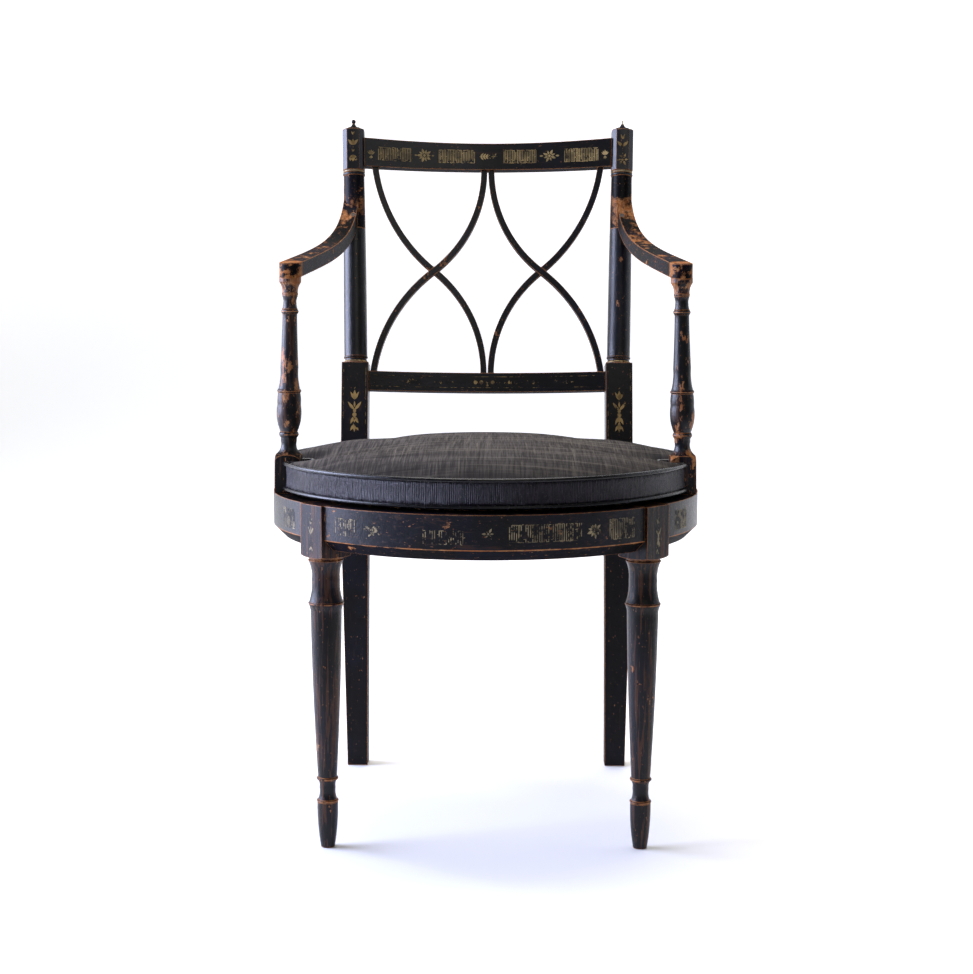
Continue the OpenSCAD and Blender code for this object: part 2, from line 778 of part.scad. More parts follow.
function cushion_outline() =
    let (base = seat_z + cane_t + seat_gap, low = base + 5.1, high = low + cushion_side, side = cushion_r - piping_r)
    concat(
    arc([0, base], [side, low - 1], -1, 8),
    arc([side, low - piping_r], [side, low + piping_r], -piping_r, 6),
    arc([side, low + piping_r + 0.2], [side, high - piping_r - 0.2], 0.9, 6),
    arc([side, high - piping_r], [side, high + piping_r], -piping_r, 6),
    crown(side, high + 1, cushion_crown - 1));

module cushion_notches() {
    far = seat_r + reach;
    inner = support_x - support_block / 2 - 4 * notch_gap;
    half = support_block / 2 + notch_gap;
    for (side = [-1, 1]) on_side(side) {
        block([inner, -support_front - half, 0], [far, -support_front + half, 2 * reach]);
        block([post_x - post_sq / 2 - notch_gap, post_y - post_sq / 2 - notch_gap, 0], [far, far, 2 * reach]);
    }
}

module cushion() {
    color(cloth) difference() {
        rotate_extrude($fn = 120) polygon(cushion_outline());
        cushion_notches();
    }
}

in_place() on_side(-1) front_leg();  // front_leg_left
in_place() on_side(1) front_leg();  // front_leg_right
in_place() on_side(-1) rear_post();  // rear_post_left
in_place() on_side(1) rear_post();  // rear_post_right
in_place() finial_pins();
in_place() finial_bead();
in_place() crest_rail();
in_place() lower_back_rail();
in_place() on_side(-1) rib(true);  // left_rib_rising_out
in_place() on_side(-1) rib(false);  // left_rib_rising_in
in_place() on_side(1) rib(true);  // right_rib_rising_out
in_place() on_side(1) rib(false);  // right_rib_rising_in
in_place() on_side(-1) arm();  // arm_left
in_place() on_side(1) arm();  // arm_right
in_place() on_side(-1) arm_support();  // arm_support_left
in_place() on_side(1) arm_support();  // arm_support_right
in_place() arm_pegs();
in_place() front_seat_rail();
in_place() on_side(-1) side_seat_rail();  // left_seat_rail
in_place() on_side(1) side_seat_rail();  // right_seat_rail
in_place() back_seat_rail();
in_place() cane_panel();
in_place() cane_binding();
in_place() cushion();
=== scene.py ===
import math
import random
import bmesh
import bpy
import numpy as np
from mathutils import Matrix, Vector, noise


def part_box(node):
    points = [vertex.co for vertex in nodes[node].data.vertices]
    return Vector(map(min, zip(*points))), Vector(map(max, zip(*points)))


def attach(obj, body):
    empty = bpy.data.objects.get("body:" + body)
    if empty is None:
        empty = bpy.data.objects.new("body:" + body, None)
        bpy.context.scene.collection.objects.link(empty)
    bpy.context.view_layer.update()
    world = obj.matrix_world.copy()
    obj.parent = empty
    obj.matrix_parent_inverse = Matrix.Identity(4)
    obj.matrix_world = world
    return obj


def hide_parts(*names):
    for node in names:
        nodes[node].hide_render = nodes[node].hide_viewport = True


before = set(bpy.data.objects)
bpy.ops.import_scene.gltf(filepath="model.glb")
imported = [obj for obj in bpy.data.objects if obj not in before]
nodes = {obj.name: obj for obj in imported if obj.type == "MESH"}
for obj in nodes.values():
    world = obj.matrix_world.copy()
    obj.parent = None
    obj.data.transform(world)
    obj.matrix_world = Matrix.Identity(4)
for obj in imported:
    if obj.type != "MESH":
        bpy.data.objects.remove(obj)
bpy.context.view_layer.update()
print("frame loaded:", len(nodes), "pieces of construction")

scene = bpy.context.scene
chairBody = "chair"
cushionBody = "loose_cushion"
mm = 0.001


def linked(name, data):
    obj = bpy.data.objects.new(name, data)
    scene.collection.objects.link(obj)
    return obj


# Camera, at the photograph's angle. Its place was worked out from the feet, the seat and the posts.

view = {
    "sideways": 0.01577,
    "distance": 2.2,          # in front of the seat's centre
    "height": 0.66025,
    "down": 6.69,             # degrees
    "turn": 0.384,
    "roll": 0.1375,
    "lens": 67.03,
    "sensor": 36.0,
}

frontLow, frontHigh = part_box("front_seat_rail")
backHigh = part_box("back_seat_rail")[1]
seatRadius = (backHigh.y - frontLow.y) / 2
seatMiddle = (backHigh.y + frontLow.y) / 2
seatTop = frontHigh.z


def placeCamera(v):
    data = bpy.data.cameras.new("photo_camera")
    data.lens = v["lens"]
    data.sensor_fit = "HORIZONTAL"
    data.sensor_width = v["sensor"]
    data.clip_end = 50
    camera = linked("photo_camera", data)
    spot = Matrix.Translation((v["sideways"], seatMiddle - v["distance"], v["height"]))
    turned = Matrix.Rotation(math.radians(v["turn"]), 4, "Z")
    aimed = turned @ Matrix.Rotation(math.radians(90 - v["down"]), 4, "X")
    camera.matrix_world = spot @ aimed @ Matrix.Rotation(math.radians(v["roll"]), 4, "Z")
    scene.camera = camera


placeCamera(view)


# Studio: a white paper sweep, a tall window on the left, soft light from above and little from the front.

studio = {
    "floorDrop": 0.0006,
    "front": -7.0,            # where the paper starts, and where it turns up behind the chair
    "turnUp": 2.4,
    "turnRadius": 1.6,
    "width": 14.0,
    "height": 5.0,
    "skyColour": (0.80, 0.86, 1.0),
    "skyStrength": 0.09,
    "nearGlow": 0.05,
    "farGlow": 0.55,
    "wallGlow": 0.34,
    "shadeFrom": -0.62,       # painted shade: the paper is greyer in front of the picture, to keep the blacks deep
    "shadeTo": -1.15,
    "shadeShare": 0.5,
}

lamps = {
    "window": {
        "at": (-2.5, 0.15, 1.25), "aim": (0, 0, 0.55), "size": (2.3, 2.1),
        "watts": 128, "spread": 130, "colour": (0.65, 0.71, 1.0),
    },
    "right_fill": {
        "at": (2.8, 0.3, 1.3), "aim": (0, 0, 0.5), "size": (1.2, 1.6),
        "watts": 5, "spread": 130, "colour": (0.80, 0.86, 1.0),
    },
    "front_fill": {
        "at": (0.9, -3.4, 2.6), "aim": (0, 0, 0.5), "size": (1.8, 1.2),
        "watts": 3, "spread": 80, "colour": (1.0, 0.96, 0.9),
    },
    "top_soft": {
        "at": (0.0, 0.9, 3.3), "aim": (0, 0.5, 0), "size": (2.6, 2.2),
        "watts": 22, "spread": 70, "colour": (1.0, 0.95, 0.88),
    },
}


def lightRoom(s, lampSet):
    world = bpy.data.worlds.new("studio")
    world.use_nodes = True
    sky = world.node_tree.nodes["Background"]
    sky.inputs["Color"].default_value = (*s["skyColour"], 1)
    sky.inputs["Strength"].default_value = s["skyStrength"]
    scene.world = world
    scene.view_settings.view_transform = "Standard"
    for name, lamp in lampSet.items():
        data = bpy.data.lights.new(name, "AREA")
        data.shape = "RECTANGLE"
        data.size, data.size_y = lamp["size"]
        data.energy = lamp["watts"]
        data.spread = math.radians(lamp["spread"])
        data.color = lamp["colour"]
        light = linked(name, data)
        away = Vector(lamp["at"]) - Vector(lamp["aim"])
        turned = away.to_track_quat("Z", "Y").to_matrix().to_4x4()
        light.matrix_world = Matrix.Translation(lamp["at"]) @ turned


lightRoom(studio, lamps)
print("camera and studio ready")


# Shader maths written as Python expressions: a Wire is one value in a material's tree.

class Wire:
    def __init__(self, paint, socket):
        self.paint = paint
        self.socket = socket

    def maths(self, operation, first, second):
        return self.paint.maths(operation, first, second)

    def __add__(self, other):
        return self.maths("ADD", self, other)

    def __radd__(self, other):
        return self.maths("ADD", other, self)

    def __sub__(self, other):
        return self.maths("SUBTRACT", self, other)

    def __rsub__(self, other):
        return self.maths("SUBTRACT", other, self)

    def __mul__(self, other):
        return self.maths("MULTIPLY", self, other)

    def __rmul__(self, other):
        return self.maths("MULTIPLY", other, self)

    def larger(self, other):
        return self.maths("MAXIMUM", self, other)

    def sine(self):
        return self.maths("SINE", self, 0)

    def size(self):
        return self.maths("ABSOLUTE", self, 0)


class Paint:
    def __init__(self, name):
        self.material = bpy.data.materials.new(name)
        self.material.use_nodes = True
        self.tree = self.material.node_tree
        self.shader = self.tree.nodes["Principled BSDF"]
        self.place = self.add("ShaderNodeTexCoord", {}, {}, "Object")

    def add(self, kind, settings, values, output=0):
        made = self.tree.nodes.new(kind)
        for key, value in settings.items():
            setattr(made, key, value)
        for key, value in values.items():
            self.put(made.inputs[key], value)
        return Wire(self, made.outputs[output])

    def put(self, socket, value):
        if isinstance(value, Wire):
            self.tree.links.new(value.socket, socket)
        elif isinstance(value, tuple) and len(value) == 3 and len(socket.default_value) == 4:
            socket.default_value = (*value, 1)
        else:
            socket.default_value = value

    # a soft step from 0 at low to 1 at high
    def rise(self, value, low, high):
        span = {0: value, 1: low, 2: high}
        return self.add("ShaderNodeMapRange", {"interpolation_type": "SMOOTHSTEP"}, span)

    def maths(self, operation, first, second):
        return self.add("ShaderNodeMath", {"operation": operation}, {0: first, 1: second})

    def vector(self, x, y, z):
        return self.add("ShaderNodeCombineXYZ", {}, {0: x, 1: y, 2: z})

    def noise(self, scale, detail=3.0, rough=0.55, spot=None, twist=0.0):
        values = {"Vector": spot or self.place, "Scale": scale, "Detail": detail,
                  "Roughness": rough, "Distortion": twist}
        return self.add("ShaderNodeTexNoise", {}, values)

    # noise drawn out into threads, the longer the smaller its scale is along that axis
    def threads(self, scale, detail=3.0, rough=0.6, twist=0.0):
        drawn = self.add("ShaderNodeMapping", {}, {"Vector": self.place, "Scale": scale})
        return self.noise(1.0, detail, rough, drawn, twist)

    def blend(self, factor, first, second):
        return self.add("ShaderNodeMix", {"data_type": "RGBA"}, {0: factor, 6: first, 7: second}, 2)

    def axis(self, name, spot=None):
        return self.add("ShaderNodeSeparateXYZ", {}, {0: spot or self.place}, name)

    def finish(self, colour, roughness, height=None, depth=1.0, strength=0.4, normal=None, **constants):
        self.put(self.shader.inputs["Base Color"], colour)
        self.put(self.shader.inputs["Roughness"], roughness)
        for name, value in constants.items():
            self.put(self.shader.inputs[name.replace("_", " ")], value)
        if height is not None:
            values = {"Height": height, "Distance": depth * mm, "Strength": strength}
            if normal is not None:
                values["Normal"] = normal
            self.put(self.shader.inputs["Normal"], self.add("ShaderNodeBump", {}, values))
        return self.material

    # mixes in a surface without any gloss where the factor is high
    def dull(self, factor, colour):
        glossy = Wire(self, self.shader.outputs["BSDF"])
        values = {"Base Color": colour, "Roughness": 0.8, "Specular IOR Level": 0.0}
        plain = self.add("ShaderNodeBsdfPrincipled", {}, values, "BSDF")
        mixed = self.add("ShaderNodeMixShader", {}, {0: factor, 1: glossy, 2: plain}, "Shader")
        self.put(self.tree.nodes["Material Output"].inputs["Surface"], mixed)


# The back leans and its rails are bowed; the posts splay a little.

backFrame = {
    "y": 161.2 * mm,          # where the back starts at the seat's top, and how far it leans
    "lean": math.radians(11.3),
    "bow": 18 * mm,
    "bowRadius": 689.2 * mm,
    "splay": math.tan(math.radians(1.1)),
    "blockX": 173.98,         # the middle of a post's lower block and its top, in millimetres
    "blockTop": 143.5,
}

leanCos, leanSin = math.cos(backFrame["lean"]), math.sin(backFrame["lean"])


# Old black lacquer over orange-brown wood. Arrises and rings are rubbed through to the wood, brown
# streaks and flecks follow the grain, and chips lay the wood bare. The grain runs along the longest
# side of the piece.

lacquer = {
    "black": (0.0052, 0.0048, 0.0050),
    "blueSheen": (0.0062, 0.0068, 0.0115),
    "brown": (0.075, 0.0300, 0.0150),
    "wood": (0.340, 0.115, 0.032),
    "paleWood": (0.56, 0.265, 0.105),
    "pit": (0.003, 0.0025, 0.0025),
    "gold": (0.46, 0.33, 0.15),
    "edge": 1.8 * mm,         # radius that counts as an edge
    "ringHalf": 1.25 * mm,    # half the width of a rubbed ring
    "grip": 16 * mm,          # radius that the hands have worn round the arm's head
    "gripFade": 4 * mm,
}


class Lacquer(Paint):
    def __init__(self, name, grain):
        super().__init__(name)
        self.grain = self.threads(grain, 5.0, 0.62, 0.3)
        self.chips = self.threads(tuple(30 + 0.16 * g for g in grain), 6.0, 0.70)
        self.flecks = self.threads(tuple(160 + g for g in grain), 3.0, 0.65)
        self.crackle = self.threads(tuple(260 + 0.8 * g for g in grain), 4.0, 0.7)
        self.blotch = self.noise(10.0, 4.0, 0.6)
        self.fine = self.noise(230.0, 4.0, 0.65)
        self.rounded = self.add("ShaderNodeBevel", {"samples": 6}, {"Radius": lacquer["edge"]})
        self.flat = self.add("ShaderNodeNewGeometry", {}, {}, "Normal")

    # arrises and rings, rubbed in a broken line
    def edgeWear(self, rub, rings):
        pair = {0: self.rounded, 1: self.flat}
        alike = self.add("ShaderNodeVectorMath", {"operation": "DOT_PRODUCT"}, pair, "Value")
        edge = self.rise(1.0 - alike, 0.006, 0.065)
        for ring in rings:
            away = (self.axis("Z") - ring).size()
            onRing = 1.0 - self.rise(away, 0.3 * lacquer["ringHalf"], lacquer["ringHalf"])
            edge = edge.larger(onRing * 0.76)
        return self.rise(edge * 0.5 + self.chips * 0.85 + self.fine * 0.25 + rub * 0.25, 1.05, 1.15)

    def chipWear(self, bare):
        mix = self.chips + self.blotch * 0.35 + self.fine * 0.12
        chipped = self.rise(mix, 0.965 - 0.30 * bare, 1.0 - 0.30 * bare)
        flecked = self.rise(self.flecks, 0.665 - 0.05 * bare, 0.72 - 0.05 * bare)
        return chipped.larger(flecked * 0.6)

    def topWear(self, share):
        up = self.rise(self.axis("Z", self.flat), 0.40, 0.85)
        return up * self.rise(self.chips * 0.8 + self.blotch * 0.5 + share * 0.3, 0.74, 0.86)

    # bare wood round the arm's head, with some lacquer left at its front
    def handWear(self):
        acrossX = self.axis("X").size() - handAt[0]
        acrossY = self.axis("Y") - handAt[1]
        span = self.maths("SQRT", acrossX * acrossX + acrossY * acrossY, 0)
        gripped = 1.0 - self.rise(span, lacquer["grip"], lacquer["grip"] + lacquer["gripFade"])
        gripped = gripped * self.rise(self.axis("Z"), handAt[2] - lacquer["gripFade"], handAt[2])
        front = self.rise(acrossY * -1.0, 0, 11 * mm)
        left = self.rise(self.chips * 0.7 + self.blotch * 0.5 + front * 0.12, 0.66, 0.71)
        return gripped * (1.0 - left) * 0.9

    # the upper and front sides of a piece, between two heights
    def zoneWear(self, low, high, share):
        zone = self.rise(self.axis("Z"), low, low + 35 * mm)
        zone = zone * (1.0 - self.rise(self.axis("Z"), high - 25 * mm, high))
        facing = self.rise(self.axis("Z", self.flat) - self.axis("Y", self.flat), 0.35, 0.85)
        patches = self.noise(26.0, 4.0, 0.6)
        lost = self.rise(self.chips * 0.7 + patches * 0.6 + share * 0.2 + zone * 0.5, 1.20, 1.32)
        return facing * lost * 0.88

    def bareWood(self):
        wood = self.blend(self.rise(self.grain, 0.38, 0.66), lacquer["wood"], lacquer["paleWood"])
        dirt = self.rise(self.fine * 0.5 + self.grain * 0.5, 0.48, 0.62)
        return self.blend(dirt * 0.75, wood, lacquer["brown"])

    def wormHoles(self):
        cell = {"Vector": self.place, "Scale": 75.0}
        holes = self.add("ShaderNodeTexVoronoi", {}, cell, "Distance")
        pick = self.add("ShaderNodeTexVoronoi", {}, cell, "Color")
        return (1.0 - self.rise(holes, 0.050, 0.075)) * self.rise(self.axis("X", pick), 0.86, 0.87)

    # gilded lines at heights up the leaning post, in millimetres
    def gildedLines(self, colour, heights):
        up = (self.axis("Y") - backFrame["y"]) * leanSin + (self.axis("Z") - seatTop) * leanCos
        left = self.rise(self.fine * 0.6 + self.blotch * 0.5, 0.46, 0.56)
        for height in heights:
            line = 1.0 - self.rise((up - height * mm).size(), 0.7 * mm, 1.3 * mm)
            colour = self.blend(line * left * 0.8, colour, lacquer["gold"])
        return colour


# rub is for the edges, bare for chips on the faces, topBare for chips on upward faces. rings are
# heights rubbed all round, rubbed a worn zone, and dulled and dullFoot take the gloss away.
def lacquerPaint(name, grain, rub, bare, streaks, shine=0.27, topBare=0.0, rings=(), hand=False,
                 rubbed=None, gilt=(), dulled=0.0, dullFoot=0.0):
    p = Lacquer(name, grain)
    bareMask = p.edgeWear(rub, rings).larger(p.chipWear(bare))
    if topBare > 0:
        bareMask = bareMask.larger(p.topWear(topBare))
    if hand:
        bareMask = bareMask.larger(p.handWear())
    if rubbed:
        bareMask = bareMask.larger(p.zoneWear(*rubbed))
    # the black is mixed in random patches with blueSheen, a painted bluish sheen
    skin = p.blend(p.rise(p.blotch, 0.44, 0.62), lacquer["black"], lacquer["blueSheen"])
    streak = p.rise(p.grain + p.blotch * 0.3, 0.76 - streaks * 0.12, 0.86 - streaks * 0.12)
    skin = p.blend(streak * (0.35 + 0.5 * streaks), skin, lacquer["brown"])
    worm = p.wormHoles()
    colour = p.blend(worm, p.blend(bareMask, skin, p.bareWood()), lacquer["pit"])
    if gilt:
        colour = p.gildedLines(colour, gilt)
    level = p.rise(p.axis("Z", p.flat).size(), 0.32, 0.76) * 0.88
    foot = (1.0 - p.rise(p.axis("Z"), 350 * mm, 380 * mm)) * dullFoot
    p.dull(level.larger(foot).larger(dulled), colour)
    roughness = 0.22 + p.fine * 0.22 + streak * 0.10 + bareMask * 0.22
    relief = p.grain * 0.7 + p.fine + p.crackle * 1.5 + streak * 0.25 - bareMask * 0.4 - worm * 2.5
    return p.finish(colour, roughness, relief, 0.34, 0.8, p.rounded, Coat_Weight=0.10,
                    Coat_Roughness=0.20, Specular_IOR_Level=shine)


tall = (240.0, 240.0, 9.0)    # grain that runs up the piece, across the chair, or front to back
across = (9.0, 240.0, 240.0)
deep = (240.0, 9.0, 240.0)

# heights of the rings and arrises where the lacquer has gone
turnings = {
    "leg": (55.0 * mm, 81.5 * mm, 287.0 * mm, 338.5 * mm),
    "support": (471.0 * mm, 522.6 * mm, 616.5 * mm, 637.0 * mm),
    "rail": (frontLow.z + 12.5 * mm,),
}

# the middle of the arm's head, and the height where the hands have worn it
supportLow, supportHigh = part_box("arm_support_right")
handAt = (supportHigh.x - 16.3 * mm, (supportLow.y + supportHigh.y) / 2, 640 * mm)

finishes = {
    "leg": lacquerPaint("lacquer_leg", tall, rub=0.75, bare=0.20, streaks=0.9, shine=0.21,
                        rings=turnings["leg"]),
    "post": lacquerPaint("lacquer_post", tall, rub=0.75, bare=0.15, streaks=0.0, shine=0.35,
                         rubbed=(0.690, 0.772, 0.10), gilt=(146.0, 401.6), dullFoot=0.7),
    "crest": lacquerPaint("lacquer_crest", across, rub=0.95, bare=0.10, streaks=0.0),
    "rib": lacquerPaint("lacquer_rib", tall, rub=0.5, bare=0.3, streaks=0.2),
    "arm": lacquerPaint("lacquer_arm", deep, rub=1.15, bare=0.35, streaks=0.3, shine=0.12,
                        topBare=0.08, hand=True, rubbed=(0.668, 0.782, 0.40), dulled=0.6),
    "support": lacquerPaint("lacquer_support", tall, rub=0.85, bare=0.55, streaks=0.7, shine=0.33,
                            rings=turnings["support"], hand=True),
    "front_rail": lacquerPaint("lacquer_front_rail", across, rub=0.95, bare=0.22, streaks=0.15,
                               rings=turnings["rail"], shine=0.31),
    "side_rail": lacquerPaint("lacquer_side_rail", deep, rub=0.95, bare=0.22, streaks=0.15,
                              rings=turnings["rail"], shine=0.31),
}


def meshOf(b, name):
    mesh = bpy.data.meshes.new(name)
    b.to_mesh(mesh)
    b.free()
    return mesh


def smoothed(mesh, material):
    mesh.polygons.foreach_set("use_smooth", [True] * len(mesh.polygons))
    mesh.materials.clear()
    mesh.materials.append(material)


def positions(mesh):
    spots = np.empty(len(mesh.vertices) * 3)
    mesh.vertices.foreach_get("co", spots)
    return spots.reshape(-1, 3)


def place(mesh, spots):
    mesh.vertices.foreach_set("co", spots.ravel())
    mesh.update()


trims = {
    "blockLow": 402.8 * mm,   # the octagonal block, measured up the post
    "blockHigh": 466 * mm,
    "blockInner": 12 * mm,    # what lies nearer to the block's middle stays
    "flatWider": 1.4,         # how many times wider its flats get, and farther out its corners
    "cornerOut": 1.118,
    "legWay": (0.7547, -0.6561),    # from the seat's middle to the right front leg, from above
    "legOut": 240 * mm,       # from the seat's middle to the middle of a leg
    "earOut": 20.4 * mm,      # what lies farther from the leg's middle is a corner of its block
    "earLow": 339.5 * mm,
    "earBase": 340.3 * mm,
    "earHigh": 352 * mm,
    "earKept": 0.3,           # of the height that a corner has above its base
    "crestLow": 440 * mm,     # points above this are on the crest's top edge
    "crestHalf": 165 * mm,
    "crestDip": 2.6 * mm,
}


# The top block of a post is nearer to a square with its corners cut than to an even octagon
def widenFlats(mesh):
    spots = positions(mesh)
    c, s = leanCos, leanSin
    dy, dz = spots[:, 1] - backFrame["y"], spots[:, 2] - seatTop
    y, up = dy * c - dz * s, dy * s + dz * c
    centre = backFrame["blockX"] * mm + (up - backFrame["blockTop"] * mm) * backFrame["splay"]
    x = np.abs(spots[:, 0]) - centre
    turn = np.degrees(np.arctan2(np.minimum(abs(x), abs(y)), np.maximum(abs(x), abs(y))))
    share = np.clip((turn - 22.5) / 22.5, 0, 1)
    greater = 1 + (trims["cornerOut"] - 1) * share
    lesser = trims["flatWider"] + (trims["cornerOut"] - trims["flatWider"]) * share
    outer = np.clip((np.hypot(x, y) - trims["blockInner"]) / (2 * mm), 0, 1)
    outer *= (up > trims["blockLow"]) & (up < trims["blockHigh"])
    sideways = np.abs(x) >= np.abs(y)
    x *= 1 + (np.where(sideways, greater, lesser) - 1) * outer
    y *= 1 + (np.where(sideways, lesser, greater) - 1) * outer
    spots[:, 0] = np.sign(spots[:, 0]) * (centre + x)
    spots[:, 1] = backFrame["y"] + y * c + up * s
    spots[:, 2] = seatTop - y * s + up * c
    place(mesh, spots)


# The lower corners of a leg's block are nearly square
def squareEars(mesh, side):
    spots = positions(mesh)
    wayX, wayY = trims["legWay"]
    middle = np.array([side * wayX, wayY]) * trims["legOut"] + np.array([0, seatMiddle])
    height = spots[:, 2]
    ears = np.linalg.norm(spots[:, :2] - middle, axis=1) > trims["earOut"]
    ears &= (height > trims["earLow"]) & (height < trims["earHigh"])
    spots[ears, 2] = trims["earBase"] + (height[ears] - trims["earBase"]) * trims["earKept"]
    place(mesh, spots)


# The top edge of the crest dips a little in the middle
def dipCrest(mesh):
    spots = positions(mesh)
    up = (spots[:, 1] - backFrame["y"]) * leanSin + (spots[:, 2] - seatTop) * leanCos
    dip = trims["crestDip"] * np.cos(np.clip(spots[:, 0] / trims["crestHalf"], -1, 1) * np.pi / 2)
    dip *= up > trims["crestLow"]
    spots[:, 1] -= dip * leanSin
    spots[:, 2] -= dip * leanCos
    place(mesh, spots)


# A piece of the frame keeps its own shape: its loose faces are joined and its curves shaded.
def dress(node, material):
    b = bmesh.new()
    b.from_mesh(nodes[node].data)
    bmesh.ops.remove_doubles(b, verts=b.verts, dist=0.002 * mm)
    mesh = meshOf(b, node + "_finished")
    for name in ("custom_normal", "sharp_edge"):
        if name in mesh.attributes:
            mesh.attributes.remove(mesh.attributes[name])
    if node.startswith("rear_post"):
        widenFlats(mesh)
    elif node.startswith("front_leg"):
        squareEars(mesh, -1 if node.endswith("left") else 1)
    elif node == "crest_rail":
        dipCrest(mesh)
    smoothed(mesh, material)
    mesh.set_sharp_from_angle(angle=math.radians(32))
    piece = linked(node + "_finished", mesh)
    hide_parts(node)
    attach(piece, chairBody)


wear = {
    "front_leg_left": "leg", "front_leg_right": "leg",
    "rear_post_left": "post", "rear_post_right": "post", "finial_bead": "leg",
    "crest_rail": "crest", "lower_back_rail": "crest",
    "left_rib_rising_out": "rib", "left_rib_rising_in": "rib",
    "right_rib_rising_out": "rib", "right_rib_rising_in": "rib",
    "arm_left": "arm", "arm_right": "arm",
    "arm_support_left": "support", "arm_support_right": "support",
    "front_seat_rail": "front_rail", "back_seat_rail": "front_rail",
    "left_seat_rail": "side_rail", "right_seat_rail": "side_rail",
}

for node, finishName in wear.items():
    dress(node, finishes[finishName])
print("lacquered pieces dressed:", len(wear))


# Small parts: dark end grain plugs in the arms and dull brass pins in the finials.

def plugPaint():
    p = Paint("peg_end_grain")
    rings = p.noise(700.0, 3.0, 0.6)
    colour = p.blend(p.rise(rings, 0.4, 0.65), (0.014, 0.010, 0.008), (0.070, 0.036, 0.020))
    return p.finish(colour, 0.45 + rings * 0.3, rings, 0.2, 0.6)


def brassPaint():
    p = Paint("dull_brass")
    tarnish = p.noise(900.0, 3.0, 0.6)
    colour = p.blend(p.rise(tarnish, 0.4, 0.62), (0.36, 0.25, 0.10), (0.10, 0.07, 0.04))
    return p.finish(colour, 0.32 + tarnish * 0.3, tarnish, 0.05, 0.4, Metallic=0.9)


dress("arm_pegs", plugPaint())
dress("finial_pins", brassPaint())


# Gilding: faded gold ornament in thin closed plates that follow the faces they are painted on.
# A motif is a list of outlines in millimetres, u along the face and v up it.

gilding = {
    "proud": 0.14 * mm,
    "sunk": 0.30 * mm,
    "longest": 9.0,           # longer strips are laid in pieces, so they follow a curved face
    "seed": 11,
    "blockFront": 17.5 * mm,  # from the middle of a post to the front of its lower and top blocks
    "topFront": 14.3 * mm,
    "legFront": 260.5 * mm,   # from the seat's middle to the outer face of a leg's block
}


def backPoint(x, y, up):
    return Vector((x, backFrame["y"] + y * leanCos + up * leanSin, seatTop - y * leanSin + up * leanCos))


def bowedFace(start, half):
    def face(u, v, out):
        x, radius = u * mm, backFrame["bowRadius"] - half * mm - out
        y = backFrame["bow"] - backFrame["bowRadius"] + math.sqrt(radius ** 2 - x ** 2)
        return backPoint(x, y, (start + v) * mm)
    return face


def blockFace(side):
    def face(u, v, out):
        return backPoint((side * backFrame["blockX"] + u) * mm, -gilding["blockFront"] - out, v * mm)
    return face


def topFace(side):
    def face(u, v, out):
        x = side * (backFrame["blockX"] + (v - backFrame["blockTop"]) * backFrame["splay"]) + u
        return backPoint(x * mm, -gilding["topFront"] - out, v * mm)
    return face


def railFace(u, v, out):
    turn = u * mm / seatRadius
    radius = seatRadius + out
    return Vector((radius * math.sin(turn), seatMiddle - radius * math.cos(turn), v * mm))


def legFace(side):
    wayX, wayY = trims["legWay"]
    way, along = Vector((side * wayX, wayY, 0)), Vector((-wayY, side * wayX, 0))

    def face(u, v, out):
        return Vector((0, seatMiddle, v * mm)) + way * (gilding["legFront"] + out) + along * (u * mm)
    return face


def moved(outlines, u, v, turn=0.0, scale=1.0, flip=1):
    c, s = math.cos(math.radians(turn)) * scale, math.sin(math.radians(turn)) * scale
    return [[(u + flip * (a * c - b * s), v + a * s + b * c) for a, b in outline] for outline in outlines]


# A pointed leaf that grows from the origin along u
def leaf(length, width, bend=0.0):
    steps = np.linspace(0, 1, 8)
    upper = [(length * t, width / 2 * math.sin(math.pi * t ** 0.8) + bend * t * t) for t in steps]
    lower = [(length * t, -width / 2 * math.sin(math.pi * t ** 0.8) + bend * t * t) for t in steps]
    return upper + lower[-2:0:-1]


def dot(radius, u=0.0, v=0.0):
    turns = [math.radians(degrees) for degrees in range(0, 360, 36)]
    return [(u + radius * math.cos(t), v + radius * math.sin(t)) for t in turns]


def bar(u0, v0, u1, v1, width):
    length = math.hypot(u1 - u0, v1 - v0)
    pieces = max(1, math.ceil(length / gilding["longest"]))
    a, b = (u1 - u0) / length, (v1 - v0) / length
    half = width / 2
    strips = []
    for k in range(pieces):
        start, end = length * k / pieces, length * (k + 1) / pieces
        corners = ((start, -half), (end, -half), (end, half), (start, half))
        strips.append([(u0 + a * t - b * w, v0 + b * t + a * w) for t, w in corners])
    return strips


def husk(size):
    parts = []
    for turn, length, width in ((90, 1.0, 0.34), (62, 0.92, 0.26), (118, 0.92, 0.26)):
        parts += moved([leaf(length * size, width * size)], 0, 0, turn)
    return parts


def leafPair(size, spread=38, width=0.36):
    blade = leaf(size, width * size, 0.12 * size)
    return moved([blade], 0, 0, spread) + moved([blade], 0, 0, spread, 1, -1)


def rosette(size, petals):
    parts = [dot(0.16 * size)]
    for k in range(petals):
        degrees = 360 * k / petals
        turn = math.radians(degrees)
        grown = size * (1.0 if k % 2 else 0.78)
        petal = leaf(0.66 * grown, 0.30 * grown)
        parts += moved([petal], 0.24 * size * math.cos(turn), 0.20 * size * math.sin(turn), degrees)
    return parts


def spray(length, leaves):
    parts = bar(0, 0, length, 0.0, 0.7)
    for k in range(leaves):
        u = length * (0.08 + 0.80 * k / leaves)
        size = 6.2 - 2.2 * k / leaves
        for way in (1, -1):
            parts += moved([leaf(size, 0.38 * size)], u, 0, way * (52 - 4 * k))
    return parts + moved([leaf(5.0, 2.0)], length - 0.5, 0)


